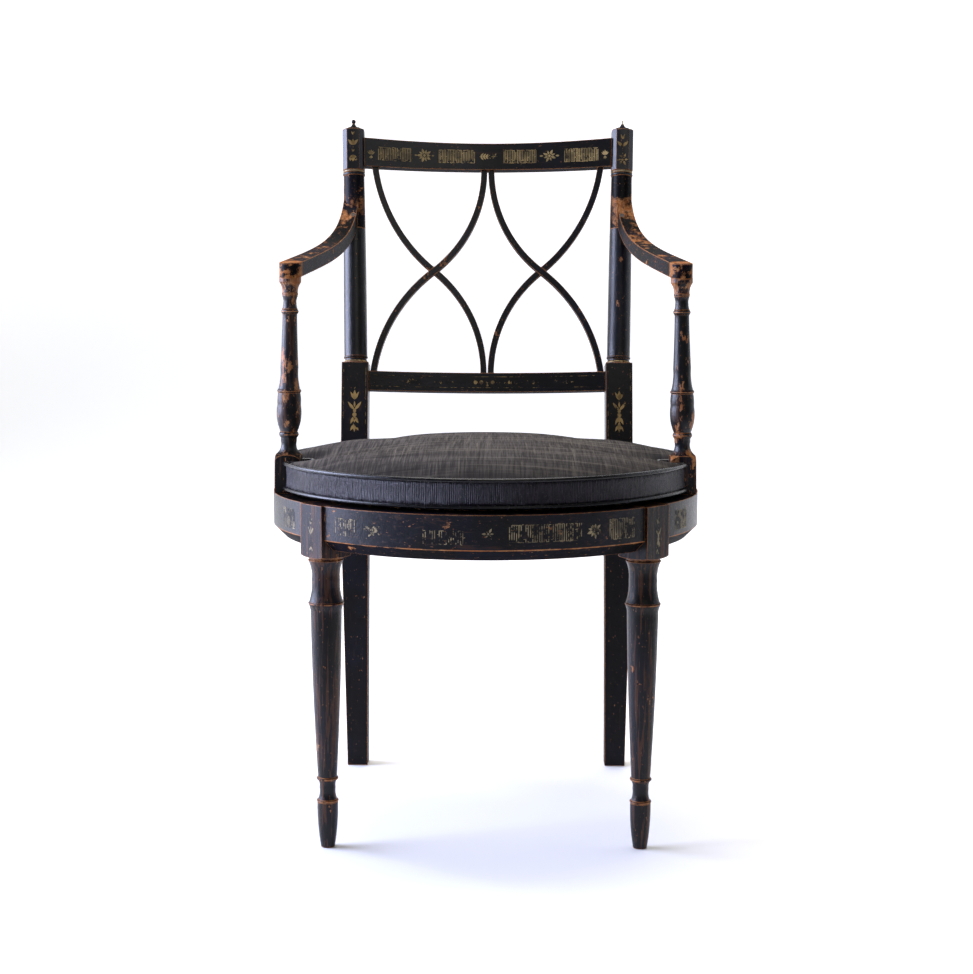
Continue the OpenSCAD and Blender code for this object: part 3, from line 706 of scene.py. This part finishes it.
# A panel of upright bars, joined here and there like fret work
def fret(chance, u0, u1, v0, v1, pitch=2.15, keep=1.0):
    parts = []
    count = int((u1 - u0) / pitch)
    for k in range(count + 1):
        u = u0 + k * (u1 - u0) / count
        low = v0 + (v1 - v0) * chance.choice((0, 0, 0, 0, 0.14))
        high = v1 - (v1 - v0) * chance.choice((0, 0, 0, 0, 0.12))
        if chance.random() < keep:
            parts += bar(u, low, u, high, 0.75 + 0.45 * chance.random())
        if k < count:
            for v in (v0, v1, v0 + (v1 - v0) * chance.random()):
                if chance.random() < keep * 0.7:
                    parts += bar(u, v, u + pitch, v + chance.uniform(-0.5, 0.5), 0.7)
    return parts


# A hanging drop of husks and leaves between two dots, narrowed by the scale
def drop(scale):
    parts = moved(husk(13.0), 0, 47.5)
    parts += moved(leafPair(14.0, 44, 0.27), 0, 34.0) + moved([leaf(8.0, 2.4)], 0, 37.5, 90)
    parts += [dot(2.2, 0, 32.6), dot(2.9, 0, 27.6)]
    parts += moved(leafPair(12.0, 56, 0.30), 0, 25.5, 180) + moved([leaf(9.0, 3.2)], 0, 25.5, 270)
    parts += [dot(1.8, 0, 15.5)]
    parts += moved(leafPair(10.0, 50, 0.36), 0, 14.5, 180) + moved([leaf(10.0, 3.4)], 0, 14.5, 270)
    parts += bar(-0.6, 62.0, 1.0, 64.0, 0.8)
    return [[(u * scale, v) for u, v in part] for part in parts]


def giltPaint(name, kept, gold):
    p = Paint(name)
    flake = p.noise(150.0, 5.0, 0.68)
    broad = p.noise(22.0, 3.0, 0.6)
    dull = p.noise(60.0, 3.0, 0.6)
    mask = 1.0 - p.rise(flake * 0.75 + broad * 0.45, 0.44 + 0.22 * kept, 0.52 + 0.22 * kept)
    colour = p.blend(p.rise(dull, 0.35, 0.65), tuple(0.42 * c for c in gold), gold)
    colour = p.blend(mask, lacquer["black"], colour)
    return p.finish(colour, 0.42 + flake * 0.2, flake, 0.05, 0.5, Specular_IOR_Level=0.3)


def layPlates(name, groups, paint):
    b = bmesh.new()
    for face, outlines in groups:
        for outline in outlines:
            top = [b.verts.new(face(u, v, gilding["proud"])) for u, v in outline]
            low = [b.verts.new(face(u, v, -gilding["sunk"])) for u, v in outline]
            b.faces.new(top)
            b.faces.new(list(reversed(low)))
            for i in range(len(outline)):
                j = (i + 1) % len(outline)
                b.faces.new((top[j], top[i], low[i], low[j]))
    bmesh.ops.recalc_face_normals(b, faces=b.faces)
    mesh = meshOf(b, name)
    mesh.materials.append(paint)
    plates = linked(name, mesh)
    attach(plates, chairBody)
    print(name, "laid:", len(mesh.polygons), "faces")


def gildCrest(chance):
    crest = bowedFace(408.4, 8.0)    # the rail's lower edge up the post, and half its thickness
    low, high, middle = 9.0, 26.5, 18.0
    parts = []
    for start, end in ((-146.0, -103.5), (-65.4, -18.0), (21.8, 64.5), (103.0, 147.0)):
        parts += fret(chance, start, end, low, high)
    for u, flip in ((-155.8, 1), (156.5, -1)):
        parts += moved(husk(7.0) + leafPair(6.0, 30), u, middle - 2, 0, 1, flip)
        parts += moved(husk(5.0), u, middle - 3, 180)
    parts += moved(rosette(11.5, 10), -85.1, middle, 0)
    parts += moved([leaf(4.0, 2.2)], -98.5, middle, 0) + moved([leaf(4.0, 2.2)], -72.0, middle, 180)
    parts += moved(rosette(10.5, 8), 82.6, middle, 20)
    parts += moved([leaf(5.0, 2.4)], 69.5, middle, 0) + moved([leaf(5.0, 2.4)], 95.6, middle, 180)
    parts += moved(spray(17.0, 4), -11.0, middle) + moved(rosette(6.0, 6), 8.5, middle)
    layPlates("gilding_crest", [(crest, parts)], giltPaint("gilt_crest", 0.84, (0.46, 0.33, 0.135)))


def gildLowerRail():
    rail = bowedFace(107.5, 9.0)
    middle = 12.8
    parts = []
    for k in range(-9, 10):
        parts.append(dot(2.7, k * 7.6, middle) if k % 3 else dot(1.5, k * 7.6, middle))
    for v in (middle + 7.4, middle - 7.2):
        parts += bar(-158, v, 158, v, 0.55)
    parts += moved(husk(5.0), 0, middle - 1.5, 180)
    for flip in (1, -1):
        parts += moved(spray(24.0, 5), flip * 86, middle, 0, 1, flip)
    groups = [(rail, parts)]
    for side in (-1, 1):
        lines = bar(-14.6, 6, -14.6, 137, 0.5) + bar(14.6, 6, 14.6, 137, 0.5)
        if side > 0:
            lines += bar(-14.6, 137, 14.6, 137, 0.5)
        groups.append((blockFace(side), lines))
    layPlates("gilding_lines", groups, giltPaint("gilt_lines", 0.35, (0.36, 0.24, 0.085)))


def gildPosts():
    groups = []
    for side in (-1, 1):
        block = blockFace(side)
        groups.append((block, moved(drop(1.0), 0, 46.0)))
        top = topFace(side)
        if side < 0:
            parts = moved(leafPair(5.0, 62, 0.3), 0, 449.5) + moved(husk(8.5) + leafPair(10.5, 42), 0, 435.5)
            parts += [dot(1.1, 0, 432.5)] + moved(leafPair(4.6, 60, 0.3), 0, 426.5)
            parts += moved(husk(10.5) + leafPair(9.0, 45, 0.4), 0, 422.0, 180)
        else:
            parts = moved(leafPair(7.5, 62, 0.3), 0, 444.0) + moved(leafPair(10.0, 35, 0.42), 0, 434.5)
            parts += [dot(1.8, 0, 433.5)] + bar(0, 424, 0, 432, 0.9) + moved(rosette(10.5, 6), 0, 416.5)
        groups.append((top, [[(max(-7.4, min(7.4, u * 0.95)), v) for u, v in part] for part in parts]))
    layPlates("gilding_posts", groups, giltPaint("gilt_posts", 0.70, (0.46, 0.295, 0.10)))


def gildSeat(chance):
    parts = []
    panels = (                # start, end, bottom, top, and how much of it is left
        (-294, -262, 369, 391, 0.9),
        (-180.5, -152.5, 371, 390, 0.85),
        (-69.6, -20.2, 369, 384, 0.55),
        (27.9, 110, 371.5, 390.5, 0.9),
        (147, 182, 369.5, 392, 1.0),
        (262, 294, 369, 391, 0.95),
    )
    for start, end, low, high, keep in panels:
        parts += fret(chance, start, end, low, high, 2.5, keep)
    parts += [[(u * 1.5 - 129.3, v + 380.5) for u, v in part] for part in rosette(9.5, 10)]
    parts += moved(rosette(8.0, 6), 4.8, 381) + moved(rosette(11.0, 9), 126.5, 381)
    groups = [(railFace, parts)]
    for side in (-1, 1):
        groups.append((legFace(side), moved(drop(0.8), 0, 342.0, 0, 0.78)))
    layPlates("gilding_seat", groups, giltPaint("gilt_seat", 0.60, (0.40, 0.32, 0.185)))


luck = random.Random(gilding["seed"])
gildCrest(luck)
gildLowerRail()
gildPosts()
gildSeat(luck)


# Cane: a six way weave made with Geometry Nodes. Pairs of strands run both ways and single ones
# run on both diagonals; a flat strand is laid round the edge and looped down at every hole.

cane = {
    "pitch": 14.0 * mm,
    "pair": 2.6 * mm,         # between the two strands of a pair
    "width": 1.7 * mm,
    "thick": 0.42 * mm,
    "swing": 0.30 * mm,       # how far a strand goes up and down
    "lift": 0.50 * mm,        # the diagonals lie above and below
    "radius": 221.0 * mm,
    "edge": 220.0 * mm,
    "edgeWidth": 4.2 * mm,
    "edgeThick": 0.8 * mm,
    "netHeight": 0.8 * mm,    # above the rails
    "edgeHeight": 1.7 * mm,
    "loops": 98,
    "loopSize": (6.4 * mm, 2.4 * mm, 1.5 * mm),
    "loopBend": 0.55 * mm,
}


class Graph(Paint):
    def __init__(self, name, wanted):
        self.tree = bpy.data.node_groups.new(name, "GeometryNodeTree")
        self.sockets = {}
        made = self.tree.interface
        made.new_socket(name="Geometry", in_out="INPUT", socket_type="NodeSocketGeometry")
        for label, kind, value in wanted:
            self.sockets[label] = made.new_socket(name=label, in_out="INPUT", socket_type=kind).identifier
        made.new_socket(name="Geometry", in_out="OUTPUT", socket_type="NodeSocketGeometry")
        self.source = self.tree.nodes.new("NodeGroupInput")
        self.sink = self.tree.nodes.new("NodeGroupOutput")
        self.wanted = wanted

    def given(self, label):
        return Wire(self, self.source.outputs[label])

    def change(self, kind, geometry, **values):
        return self.add(kind, {}, {"Geometry": geometry, **values}, "Geometry")

    def join(self, pieces):
        node = self.tree.nodes.new("GeometryNodeJoinGeometry")
        for piece in pieces:
            self.tree.links.new(piece.socket, node.inputs[0])
        return Wire(self, node.outputs[0])

    # sets the result in its place, runs the tree on an empty mesh and returns what it makes
    def run(self, result, raised, name):
        spot = self.vector(0.0, self.given("Middle"), self.given("Height") + raised)
        result = self.change("GeometryNodeTransform", result, Translation=spot)
        result = self.change("GeometryNodeRealizeInstances", result)
        result = self.change("GeometryNodeSetMaterial", result, Material=self.given("Material"))
        self.tree.links.new(result.socket, self.sink.inputs[0])
        carrier = linked(name, bpy.data.meshes.new(name))
        modifier = carrier.modifiers.new("nodes", "NODES")
        modifier.node_group = self.tree
        for label, kind, value in self.wanted:
            modifier[self.sockets[label]] = value
        made = applied(carrier, name)
        bpy.data.objects.remove(carrier)
        return made


def applied(obj, name):
    graph = bpy.context.evaluated_depsgraph_get()
    mesh = bpy.data.meshes.new_from_object(obj.evaluated_get(graph), depsgraph=graph)
    mesh.name = name
    return mesh


# One set of parallel strands: sign is the way it weaves, and 0 is a set that lies flat
def caneSet(g, pitch, shift, turn, sign, lift):
    radius = g.given("Radius")
    count = math.ceil(2 * cane["radius"] / pitch) // 2 * 2 + 1
    start = (count - 1) / 2 * pitch - shift
    places = {"Count": count, "Start Location": (0, -start, 0), "Offset": (0, pitch, 0)}
    rows = g.add("GeometryNodeMeshLine", {"mode": "OFFSET"}, places, "Mesh")
    ends = {"Start": (-0.5, 0, 0), "End": (0.5, 0, 0)}
    line = g.add("GeometryNodeCurvePrimitiveLine", {}, ends, "Curve")
    line = g.add("GeometryNodeResampleCurve", {}, {"Curve": line, "Count": 129}, "Curve")
    spot = g.add("GeometryNodeInputPosition", {}, {}, "Position")
    y = g.axis("Y", spot)
    reach = (radius * radius - y * y).larger(1e-5)
    length = g.maths("SQRT", reach, 0) * 2
    strands = {"Points": rows, "Instance": line, "Scale": g.vector(length, 1.0, 1.0)}
    laid = g.add("GeometryNodeInstanceOnPoints", {}, strands, "Instances")
    laid = g.change("GeometryNodeRealizeInstances", laid)
    laid = g.change("GeometryNodeTransform", laid, Rotation=(0, 0, turn))
    wave = ((g.axis("X", spot) + g.axis("Y", spot)) * (math.pi / cane["pitch"]) + math.pi / 2).sine()
    rise = wave * (sign * cane["swing"]) + lift
    return g.change("GeometryNodeSetPosition", laid, Offset=g.vector(0.0, 0.0, rise))


def strip(g, curve, width, thick):
    upright = g.add("GeometryNodeSetCurveNormal", {"mode": "Z_UP"}, {"Curve": curve}, "Curve")
    size = {"Width": width, "Height": thick}
    profile = g.add("GeometryNodeCurvePrimitiveQuadrilateral", {}, size, "Curve")
    swept = {"Curve": upright, "Profile Curve": profile, "Fill Caps": True}
    return g.add("GeometryNodeCurveToMesh", {}, swept, "Mesh")


def weaveCane(paint):
    wanted = [
        ("Radius", "NodeSocketFloat", cane["radius"]),
        ("Strand Width", "NodeSocketFloat", cane["width"]),
        ("Thickness", "NodeSocketFloat", cane["thick"]),
        ("Height", "NodeSocketFloat", seatTop + cane["netHeight"]),
        ("Middle", "NodeSocketFloat", seatMiddle),
        ("Material", "NodeSocketMaterial", paint),
    ]
    g = Graph("cane_weave", wanted)
    pitch, half = cane["pitch"], cane["pair"] / 2
    sets = [caneSet(g, pitch, side * half, 0.0, 1, 0.0) for side in (-1, 1)]
    sets += [caneSet(g, pitch, side * half, math.pi / 2, -1, 0.0) for side in (-1, 1)]
    sets += [caneSet(g, pitch / math.sqrt(2), 0.0, math.pi / 4, 0, cane["lift"]),
             caneSet(g, pitch / math.sqrt(2), 0.0, -math.pi / 4, 0, -cane["lift"])]
    net = strip(g, g.join(sets), g.given("Strand Width"), g.given("Thickness"))
    return g.run(net, 0.0, "cane_weave")


def bindCane(paint):
    wanted = [
        ("Radius", "NodeSocketFloat", cane["edge"]),
        ("Loops", "NodeSocketInt", cane["loops"]),
        ("Height", "NodeSocketFloat", seatTop + cane["edgeHeight"]),
        ("Middle", "NodeSocketFloat", seatMiddle),
        ("Material", "NodeSocketMaterial", paint),
    ]
    g = Graph("cane_binding", wanted)
    circle = {"Resolution": 256, "Radius": g.given("Radius")}
    ring = g.add("GeometryNodeCurvePrimitiveCircle", {}, circle, "Curve")
    flat = strip(g, ring, cane["edgeWidth"], cane["edgeThick"])
    spots = g.add("GeometryNodeResampleCurve", {}, {"Curve": ring, "Count": g.given("Loops")}, "Curve")
    way = g.add("GeometryNodeInputPosition", {}, {}, "Position")
    turn = g.add("FunctionNodeAlignRotationToVector", {"axis": "X"}, {"Vector": way}, "Rotation")
    wiggle = g.add("FunctionNodeRandomValue", {"data_type": "FLOAT"}, {2: 0.85, 3: 1.15, "Seed": 5}, 1)
    block = {"Size": cane["loopSize"], "Vertices X": 5, "Vertices Y": 3, "Vertices Z": 2}
    loop = g.add("GeometryNodeMeshCube", {}, block, "Mesh")
    bent = g.axis("X", way) * (2.0 / cane["loopSize"][0])
    sunk = g.vector(0.0, 0.0, bent * bent * -cane["loopBend"])
    loop = g.change("GeometryNodeSetPosition", loop, Offset=sunk)
    row = {"Points": spots, "Instance": loop, "Rotation": turn, "Scale": wiggle}
    loops = g.add("GeometryNodeInstanceOnPoints", {}, row, "Instances")
    loops = g.change("GeometryNodeRealizeInstances", loops)
    loops = g.change("GeometryNodeTransform", loops, Translation=(0, 0, 0.15 * mm))
    return g.run(g.join([flat, loops]), 0.5 * mm, "cane_binding")


def canePaint():
    p = Paint("aged_cane")
    streak = p.noise(90.0, 4.0, 0.6)
    fibre = p.threads((900.0, 900.0, 200.0))
    colour = p.blend(p.rise(streak, 0.35, 0.68), (0.40, 0.21, 0.08), (0.62, 0.40, 0.18))
    colour = p.blend(p.rise(fibre, 0.52, 0.75) * 0.5, colour, (0.20, 0.10, 0.04))
    return p.finish(colour, 0.38 + fibre * 0.25, fibre, 0.1, 0.5)


def laidPiece(mesh, node):
    b = bmesh.new()
    b.from_mesh(mesh)
    bmesh.ops.recalc_face_normals(b, faces=b.faces)
    b.to_mesh(mesh)
    b.free()
    piece = linked(node + "_woven", mesh)
    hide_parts(node)
    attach(piece, chairBody)
    print(node, "made:", len(mesh.polygons), "faces")


caneFinish = canePaint()
laidPiece(weaveCane(caneFinish), "cane_panel")
laidPiece(bindCane(caneFinish), "cane_binding")


# Cushion: a squab of dark slubbed cloth, notched round the supports and the posts. Its cover is
# blown up by a short cloth simulation that is held along its two seams, and the pipings are laid
# on the seams afterwards.

squab = {
    "foot": 5.1 * mm,         # from the bottom up to the lower seam
    "side": 29.3 * mm,        # between the seams
    "pipe": 2.5 * mm,
    "gap": 3.5 * mm,          # round the supports and the posts
    "block": 30 * mm,         # width of a support's block
    "notch": 14 * mm,         # how far a notch runs in past the block
    "step": 2 * mm,
    "soften": 7,              # passes that round the seam's corners
    "fullness": 4.6,
    "low": 4.0 * mm,          # how much flatter the cover is cut than it fills
    "drawn": 1.2 * mm,        # how far the border is drawn in
    "voxel": 5 * mm,
    "held": 3.2 * mm,         # points nearer to a seam than this are held
    "pressure": 4.0,
    "cap": 5 * mm,            # the farthest that a point may be blown out
    "frames": 20,
    "crease": 1.6 * mm,
    "creaseWidth": 9 * mm,
    "ripple": 0.9 * mm,
    "free": 20 * mm,          # creases and ripples fade out over this width beside the seam
}

squabLow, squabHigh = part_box("cushion")
squabMiddle = (squabLow.y + squabHigh.y) / 2
squabRadius = (squabHigh.y - squabLow.y) / 2 - squab["pipe"]
lowerSeam = squabLow.z + squab["foot"]
upperSeam = lowerSeam + squab["side"]
notchY = (supportLow.y + supportHigh.y) / 2


def evenly(points, step):
    closed = np.vstack([points, points[:1]])
    lengths = np.concatenate([[0], np.cumsum(np.linalg.norm(np.diff(closed, axis=0), axis=1))])
    count = round(lengths[-1] / step)
    spots = np.arange(count) * lengths[-1] / count
    return np.column_stack([np.interp(spots, lengths, closed[:, k]) for k in range(2)])


# The seam seen from above: the circle, and round each notch
def seamLine(c):
    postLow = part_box("rear_post_right")[0]
    notchX = supportHigh.x - c["block"] - c["notch"]
    half = c["block"] / 2 + c["gap"]
    postX, postY = postLow.x - c["gap"], postLow.y - c["gap"]

    def turnAt(y):
        return math.asin((y - squabMiddle) / squabRadius)

    def arc(start, end):
        turns = np.linspace(start, end, 60)
        return [(squabRadius * math.cos(t), squabMiddle + squabRadius * math.sin(t)) for t in turns]

    right = arc(-math.pi / 2, turnAt(notchY - half))
    right += [(notchX, notchY - half), (notchX, notchY + half)]
    right += arc(turnAt(notchY + half), turnAt(postY))
    right += [(postX, postY)]
    right += arc(math.acos(postX / squabRadius), math.pi / 2)
    left = [(-x, y) for x, y in reversed(right[1:-1])]
    line = evenly(np.array(right + left), c["step"])
    for _ in range(c["soften"]):
        line = (np.roll(line, 1, 0) + 2 * line + np.roll(line, -1, 0)) / 4
    return line


# How far each point lies from the seam, seen from above
def fromSeam(points, line):
    gap = np.full(len(points), 1e9)
    for start in range(0, len(line), 40):
        spans = np.linalg.norm(points[:, None, :2] - line[None, start:start + 40], axis=2)
        gap = np.minimum(gap, spans.min(axis=1))
    return gap


# The cover as it is cut: a drum on the seam's line, remeshed, then crowned above and below
def cutCover(c, line):
    b = bmesh.new()
    rings = [[b.verts.new((x, y, z)) for x, y in line] for z in (lowerSeam, upperSeam)]
    count = len(line)
    for i in range(count):
        j = (i + 1) % count
        b.faces.new((rings[0][i], rings[0][j], rings[1][j], rings[1][i]))
    b.faces.new(rings[1])
    b.faces.new(list(reversed(rings[0])))
    drum = linked("cover_cut", meshOf(b, "cover_cut"))
    remesh = drum.modifiers.new("voxels", "REMESH")
    remesh.mode = "VOXEL"
    remesh.voxel_size = c["voxel"]
    remesh.use_smooth_shade = True
    cut = applied(drum, "cover")
    bpy.data.objects.remove(drum)

    spots = positions(cut)
    gap = fromSeam(spots, line)
    inward = np.clip(gap / squabRadius, 0, 1)
    swell = 1 - (1 - inward) ** c["fullness"]
    crown = squabHigh.z - upperSeam - c["low"]
    top = spots[:, 2] > upperSeam - 1.5 * mm
    bottom = spots[:, 2] < lowerSeam + 1.5 * mm
    spots[top, 2] += crown * swell[top]
    spots[bottom, 2] -= (c["foot"] - 0.6 * mm) * swell[bottom]
    border = ~top & ~bottom
    height = (spots[border, 2] - lowerSeam) / c["side"]
    middle = np.array([0, squabMiddle])
    away = spots[border, :2] - middle
    away /= np.linalg.norm(away, axis=1)[:, None]
    spots[border, :2] -= away * (c["drawn"] * np.sin(np.pi * height))[:, None]
    place(cut, spots)
    toSeam = np.minimum(abs(spots[:, 2] - lowerSeam), abs(spots[:, 2] - upperSeam))
    held = np.flatnonzero((gap < c["held"]) & (toSeam < c["held"])).tolist()
    return cut, held


def fillCover(c, cut, held):
    cover = linked("cushion_cover", cut)
    before = positions(cut)
    cover.vertex_groups.new(name="seams").add(held, 1.0, "REPLACE")
    cloth = cover.modifiers.new("filling", "CLOTH")
    rules = cloth.settings
    rules.quality = 5
    rules.mass = 0.2
    rules.tension_stiffness = rules.compression_stiffness = 20
    rules.shear_stiffness = 8
    rules.bending_stiffness = 0.8
    rules.use_pressure = True
    rules.uniform_pressure_force = c["pressure"]
    rules.vertex_group_mass = "seams"
    rules.effector_weights.gravity = 0
    cloth.collision_settings.use_collision = False
    cloth.point_cache.frame_end = c["frames"]
    for frameNumber in range(1, c["frames"] + 1):
        scene.frame_set(frameNumber)
    after = positions(applied(cover, "filled"))
    cover.modifiers.remove(cloth)
    scene.frame_set(1)
    move = after - before
    length = np.linalg.norm(move, axis=1)
    print("cover filled, largest move %.1f mm" % (length.max() / mm))
    move *= np.minimum(1, c["cap"] / np.maximum(length, 1e-9))[:, None]
    before = before + move
    place(cut, before)
    return cover


# Long shallow creases that run in from the notches, and a slow ripple over the whole top
def creaseCover(c, cover, line):
    spots = positions(cover.data)
    gap = fromSeam(spots, line)
    lines = [                 # start, end and depth of each crease
        ((-0.205, notchY + 0.012), (-0.060, notchY - 0.020), 1.0),
        ((0.205, notchY + 0.014), (0.075, notchY - 0.006), 1.2),
        ((-0.150, 0.060), (0.090, 0.085), 0.8),
        ((-0.170, -0.150), (0.020, -0.175), 0.6),
        ((0.030, -0.120), (0.180, -0.140), 0.5),
    ]
    sink = np.zeros(len(spots))
    for start, end, share in lines:
        start, end = np.array(start), np.array(end)
        along = end - start
        t = np.clip(((spots[:, :2] - start) @ along) / (along @ along), 0, 1)
        away = np.linalg.norm(spots[:, :2] - (start + t[:, None] * along), axis=1)
        depth = share * c["crease"] * (0.35 + 0.65 * np.sin(np.pi * t))
        sink += depth * np.exp(-(away / c["creaseWidth"]) ** 2)
    wave = np.array([noise.noise(Vector((x * 14, y * 22, 3.7))) for x, y in spots[:, :2]])
    free = np.clip(gap / c["free"], 0, 1)
    top = spots[:, 2] > upperSeam
    spots[top, 2] -= (sink * free - c["ripple"] * wave * free)[top]
    spots[:, 2] = np.clip(spots[:, 2], squabLow.z + 0.1 * mm, squabHigh.z)
    place(cover.data, spots)


def finishCover(cover, paint):
    grown = cover.modifiers.new("smooth", "SUBSURF")
    grown.levels = grown.render_levels = 1
    finer = applied(cover, "cushion_cover")
    cover.modifiers.remove(grown)
    cover.data = finer
    smoothed(finer, paint)


def layPiping(c, line, paint):
    b = bmesh.new()
    sides = 12
    count = len(line)
    ways = np.roll(line, -1, 0) - np.roll(line, 1, 0)
    ways /= np.linalg.norm(ways, axis=1)[:, None]
    for z in (lowerSeam, upperSeam):
        rings = []
        for (x, y), (wx, wy) in zip(line, ways):
            ring = []
            for k in range(sides):
                turn = 2 * math.pi * k / sides
                out, up = c["pipe"] * math.cos(turn), c["pipe"] * math.sin(turn)
                ring.append(b.verts.new((x + wy * out, y - wx * out, z + up)))
            rings.append(ring)
        for i in range(count):
            here, following = rings[i], rings[(i + 1) % count]
            for k in range(sides):
                b.faces.new((here[k], following[k], following[(k + 1) % sides], here[(k + 1) % sides]))
    bmesh.ops.recalc_face_normals(b, faces=b.faces)
    mesh = meshOf(b, "cushion_piping")
    smoothed(mesh, paint)
    piping = linked("cushion_piping", mesh)
    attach(piping, cushionBody)


def clothPaint():
    p = Paint("slubbed_cloth")
    threadX = p.threads((3.0, 150.0, 1.0))
    threadY = p.threads((470.0, 10.0, 1.0))
    fineX = p.threads((14.0, 500.0, 1.0), 2.0)
    fineY = p.threads((560.0, 18.0, 1.0), 2.0)
    broad = p.threads((5.0, 24.0, 1.0))
    weave = fineX * 0.35 + fineY * 0.65
    slub = p.rise(threadX, 0.58, 0.66).larger(p.rise(threadY, 0.59, 0.66))
    gapLine = (1.0 - p.rise(threadX, 0.36, 0.43)).larger(1.0 - p.rise(threadY, 0.37, 0.43))
    top = p.blend(p.rise(weave, 0.40, 0.60), (0.047, 0.042, 0.039), (0.100, 0.089, 0.080))
    top = p.blend(p.rise(broad, 0.35, 0.70) * 0.35, top, (0.050, 0.045, 0.043))
    top = p.blend(slub * 0.40, top, (0.21, 0.185, 0.145))
    top = p.blend(gapLine * 0.34, top, (0.020, 0.018, 0.017))

    turn = p.maths("ARCTAN2", p.axis("X"), p.axis("Y") - squabMiddle)
    rib = (turn * (squabRadius * 2 * math.pi / (2.1 * mm))).sine()
    strand = p.threads((520.0, 520.0, 70.0), 3.0, 0.7)
    speck = p.noise(520.0, 3.0, 0.7)
    border = p.blend(p.rise(strand, 0.44, 0.60), (0.0036, 0.0030, 0.0066), (0.023, 0.016, 0.025))
    border = p.blend(p.rise(speck, 0.60, 0.69) * 0.7, border, (0.10, 0.08, 0.07))

    flat = p.add("ShaderNodeNewGeometry", {}, {}, "Normal")
    isTop = p.rise(p.axis("Z", flat).size(), 0.35, 0.60)
    # painted shade: the top is painted darker where it slopes down towards the front
    top = p.blend(p.rise(p.axis("Y", flat) * -1.0, 0.05, 0.34) * 0.72, top, (0.013, 0.012, 0.013))
    colour = p.blend(isTop, border, top)
    p.dull(isTop * 0.93, colour)
    roughness = 0.27 + isTop * 0.36 + strand * 0.10
    topRelief = weave * 0.9 + slub * 0.5 - gapLine * 0.4
    sideRelief = rib * 0.5 + strand * 4.0 + speck * 1.5
    height = isTop * topRelief + (1.0 - isTop) * sideRelief
    return p.finish(colour, roughness, height, 0.5, 0.9, Specular_IOR_Level=0.34)


def pipingPaint():
    p = Paint("waxed_piping")
    worn = p.noise(160.0, 4.0, 0.65)
    bump = p.noise(700.0, 3.0, 0.6)
    colour = p.blend(p.rise(worn, 0.52, 0.70), (0.0045, 0.0042, 0.0052), (0.016, 0.013, 0.012))
    return p.finish(colour, 0.12 + worn * 0.25, worn * 0.8 + bump * 0.6, 0.5, 0.8, Specular_IOR_Level=0.36)


def makeSquab(c):
    line = seamLine(c)
    cut, held = cutCover(c, line)
    print("cover cut:", len(cut.vertices), "points,", len(held), "held")
    cover = fillCover(c, cut, held)
    creaseCover(c, cover, line)
    finishCover(cover, clothPaint())
    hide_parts("cushion")
    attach(cover, cushionBody)
    layPiping(c, line, pipingPaint())
    print("cushion filled and piped:", len(cover.data.polygons), "faces")


makeSquab(squab)


# Paper sweep

def paperPaint(s):
    p = Paint("white_paper")
    mottle = p.noise(3.0, 3.0, 0.5)
    near = p.rise(p.axis("Y"), s["shadeTo"], s["shadeFrom"])
    # painted shade: the paper is greyer in front, down to shadeShare of its tone
    tone = (mottle * 0.03 + 0.86) * (near * (1 - s["shadeShare"]) + s["shadeShare"])
    colour = p.vector(tone, tone, tone)
    far = p.rise(p.axis("Y"), 0.0, s["turnUp"] * 0.8)
    wall = p.rise(p.axis("Z"), 0.0, s["turnRadius"])
    glow = far * s["farGlow"] + wall * s["wallGlow"] + near * s["nearGlow"]
    p.shader.inputs["Emission Strength"].default_value = 1.0
    p.put(p.shader.inputs["Emission Color"], p.vector(glow, glow, glow))
    return p.finish(colour, 0.8)


def layPaper(s):
    half = s["width"] / 2
    ground = -s["floorDrop"]
    outline = [(s["front"], ground)]
    steps = 24
    for i in range(steps + 1):
        turn = math.radians(90 * i / steps)
        y = s["turnUp"] + s["turnRadius"] * math.sin(turn)
        outline.append((y, ground + s["turnRadius"] * (1 - math.cos(turn))))
    outline.append((s["turnUp"] + s["turnRadius"], s["height"]))
    verts = [(x, y, z) for y, z in outline for x in (-half, half)]
    faces = [(2 * i, 2 * i + 1, 2 * i + 3, 2 * i + 2) for i in range(len(outline) - 1)]
    mesh = bpy.data.meshes.new("paper_sweep")
    mesh.from_pydata(verts, [], faces)
    smoothed(mesh, paperPaint(s))
    linked("paper_sweep", mesh)


layPaper(studio)
print("paper laid")
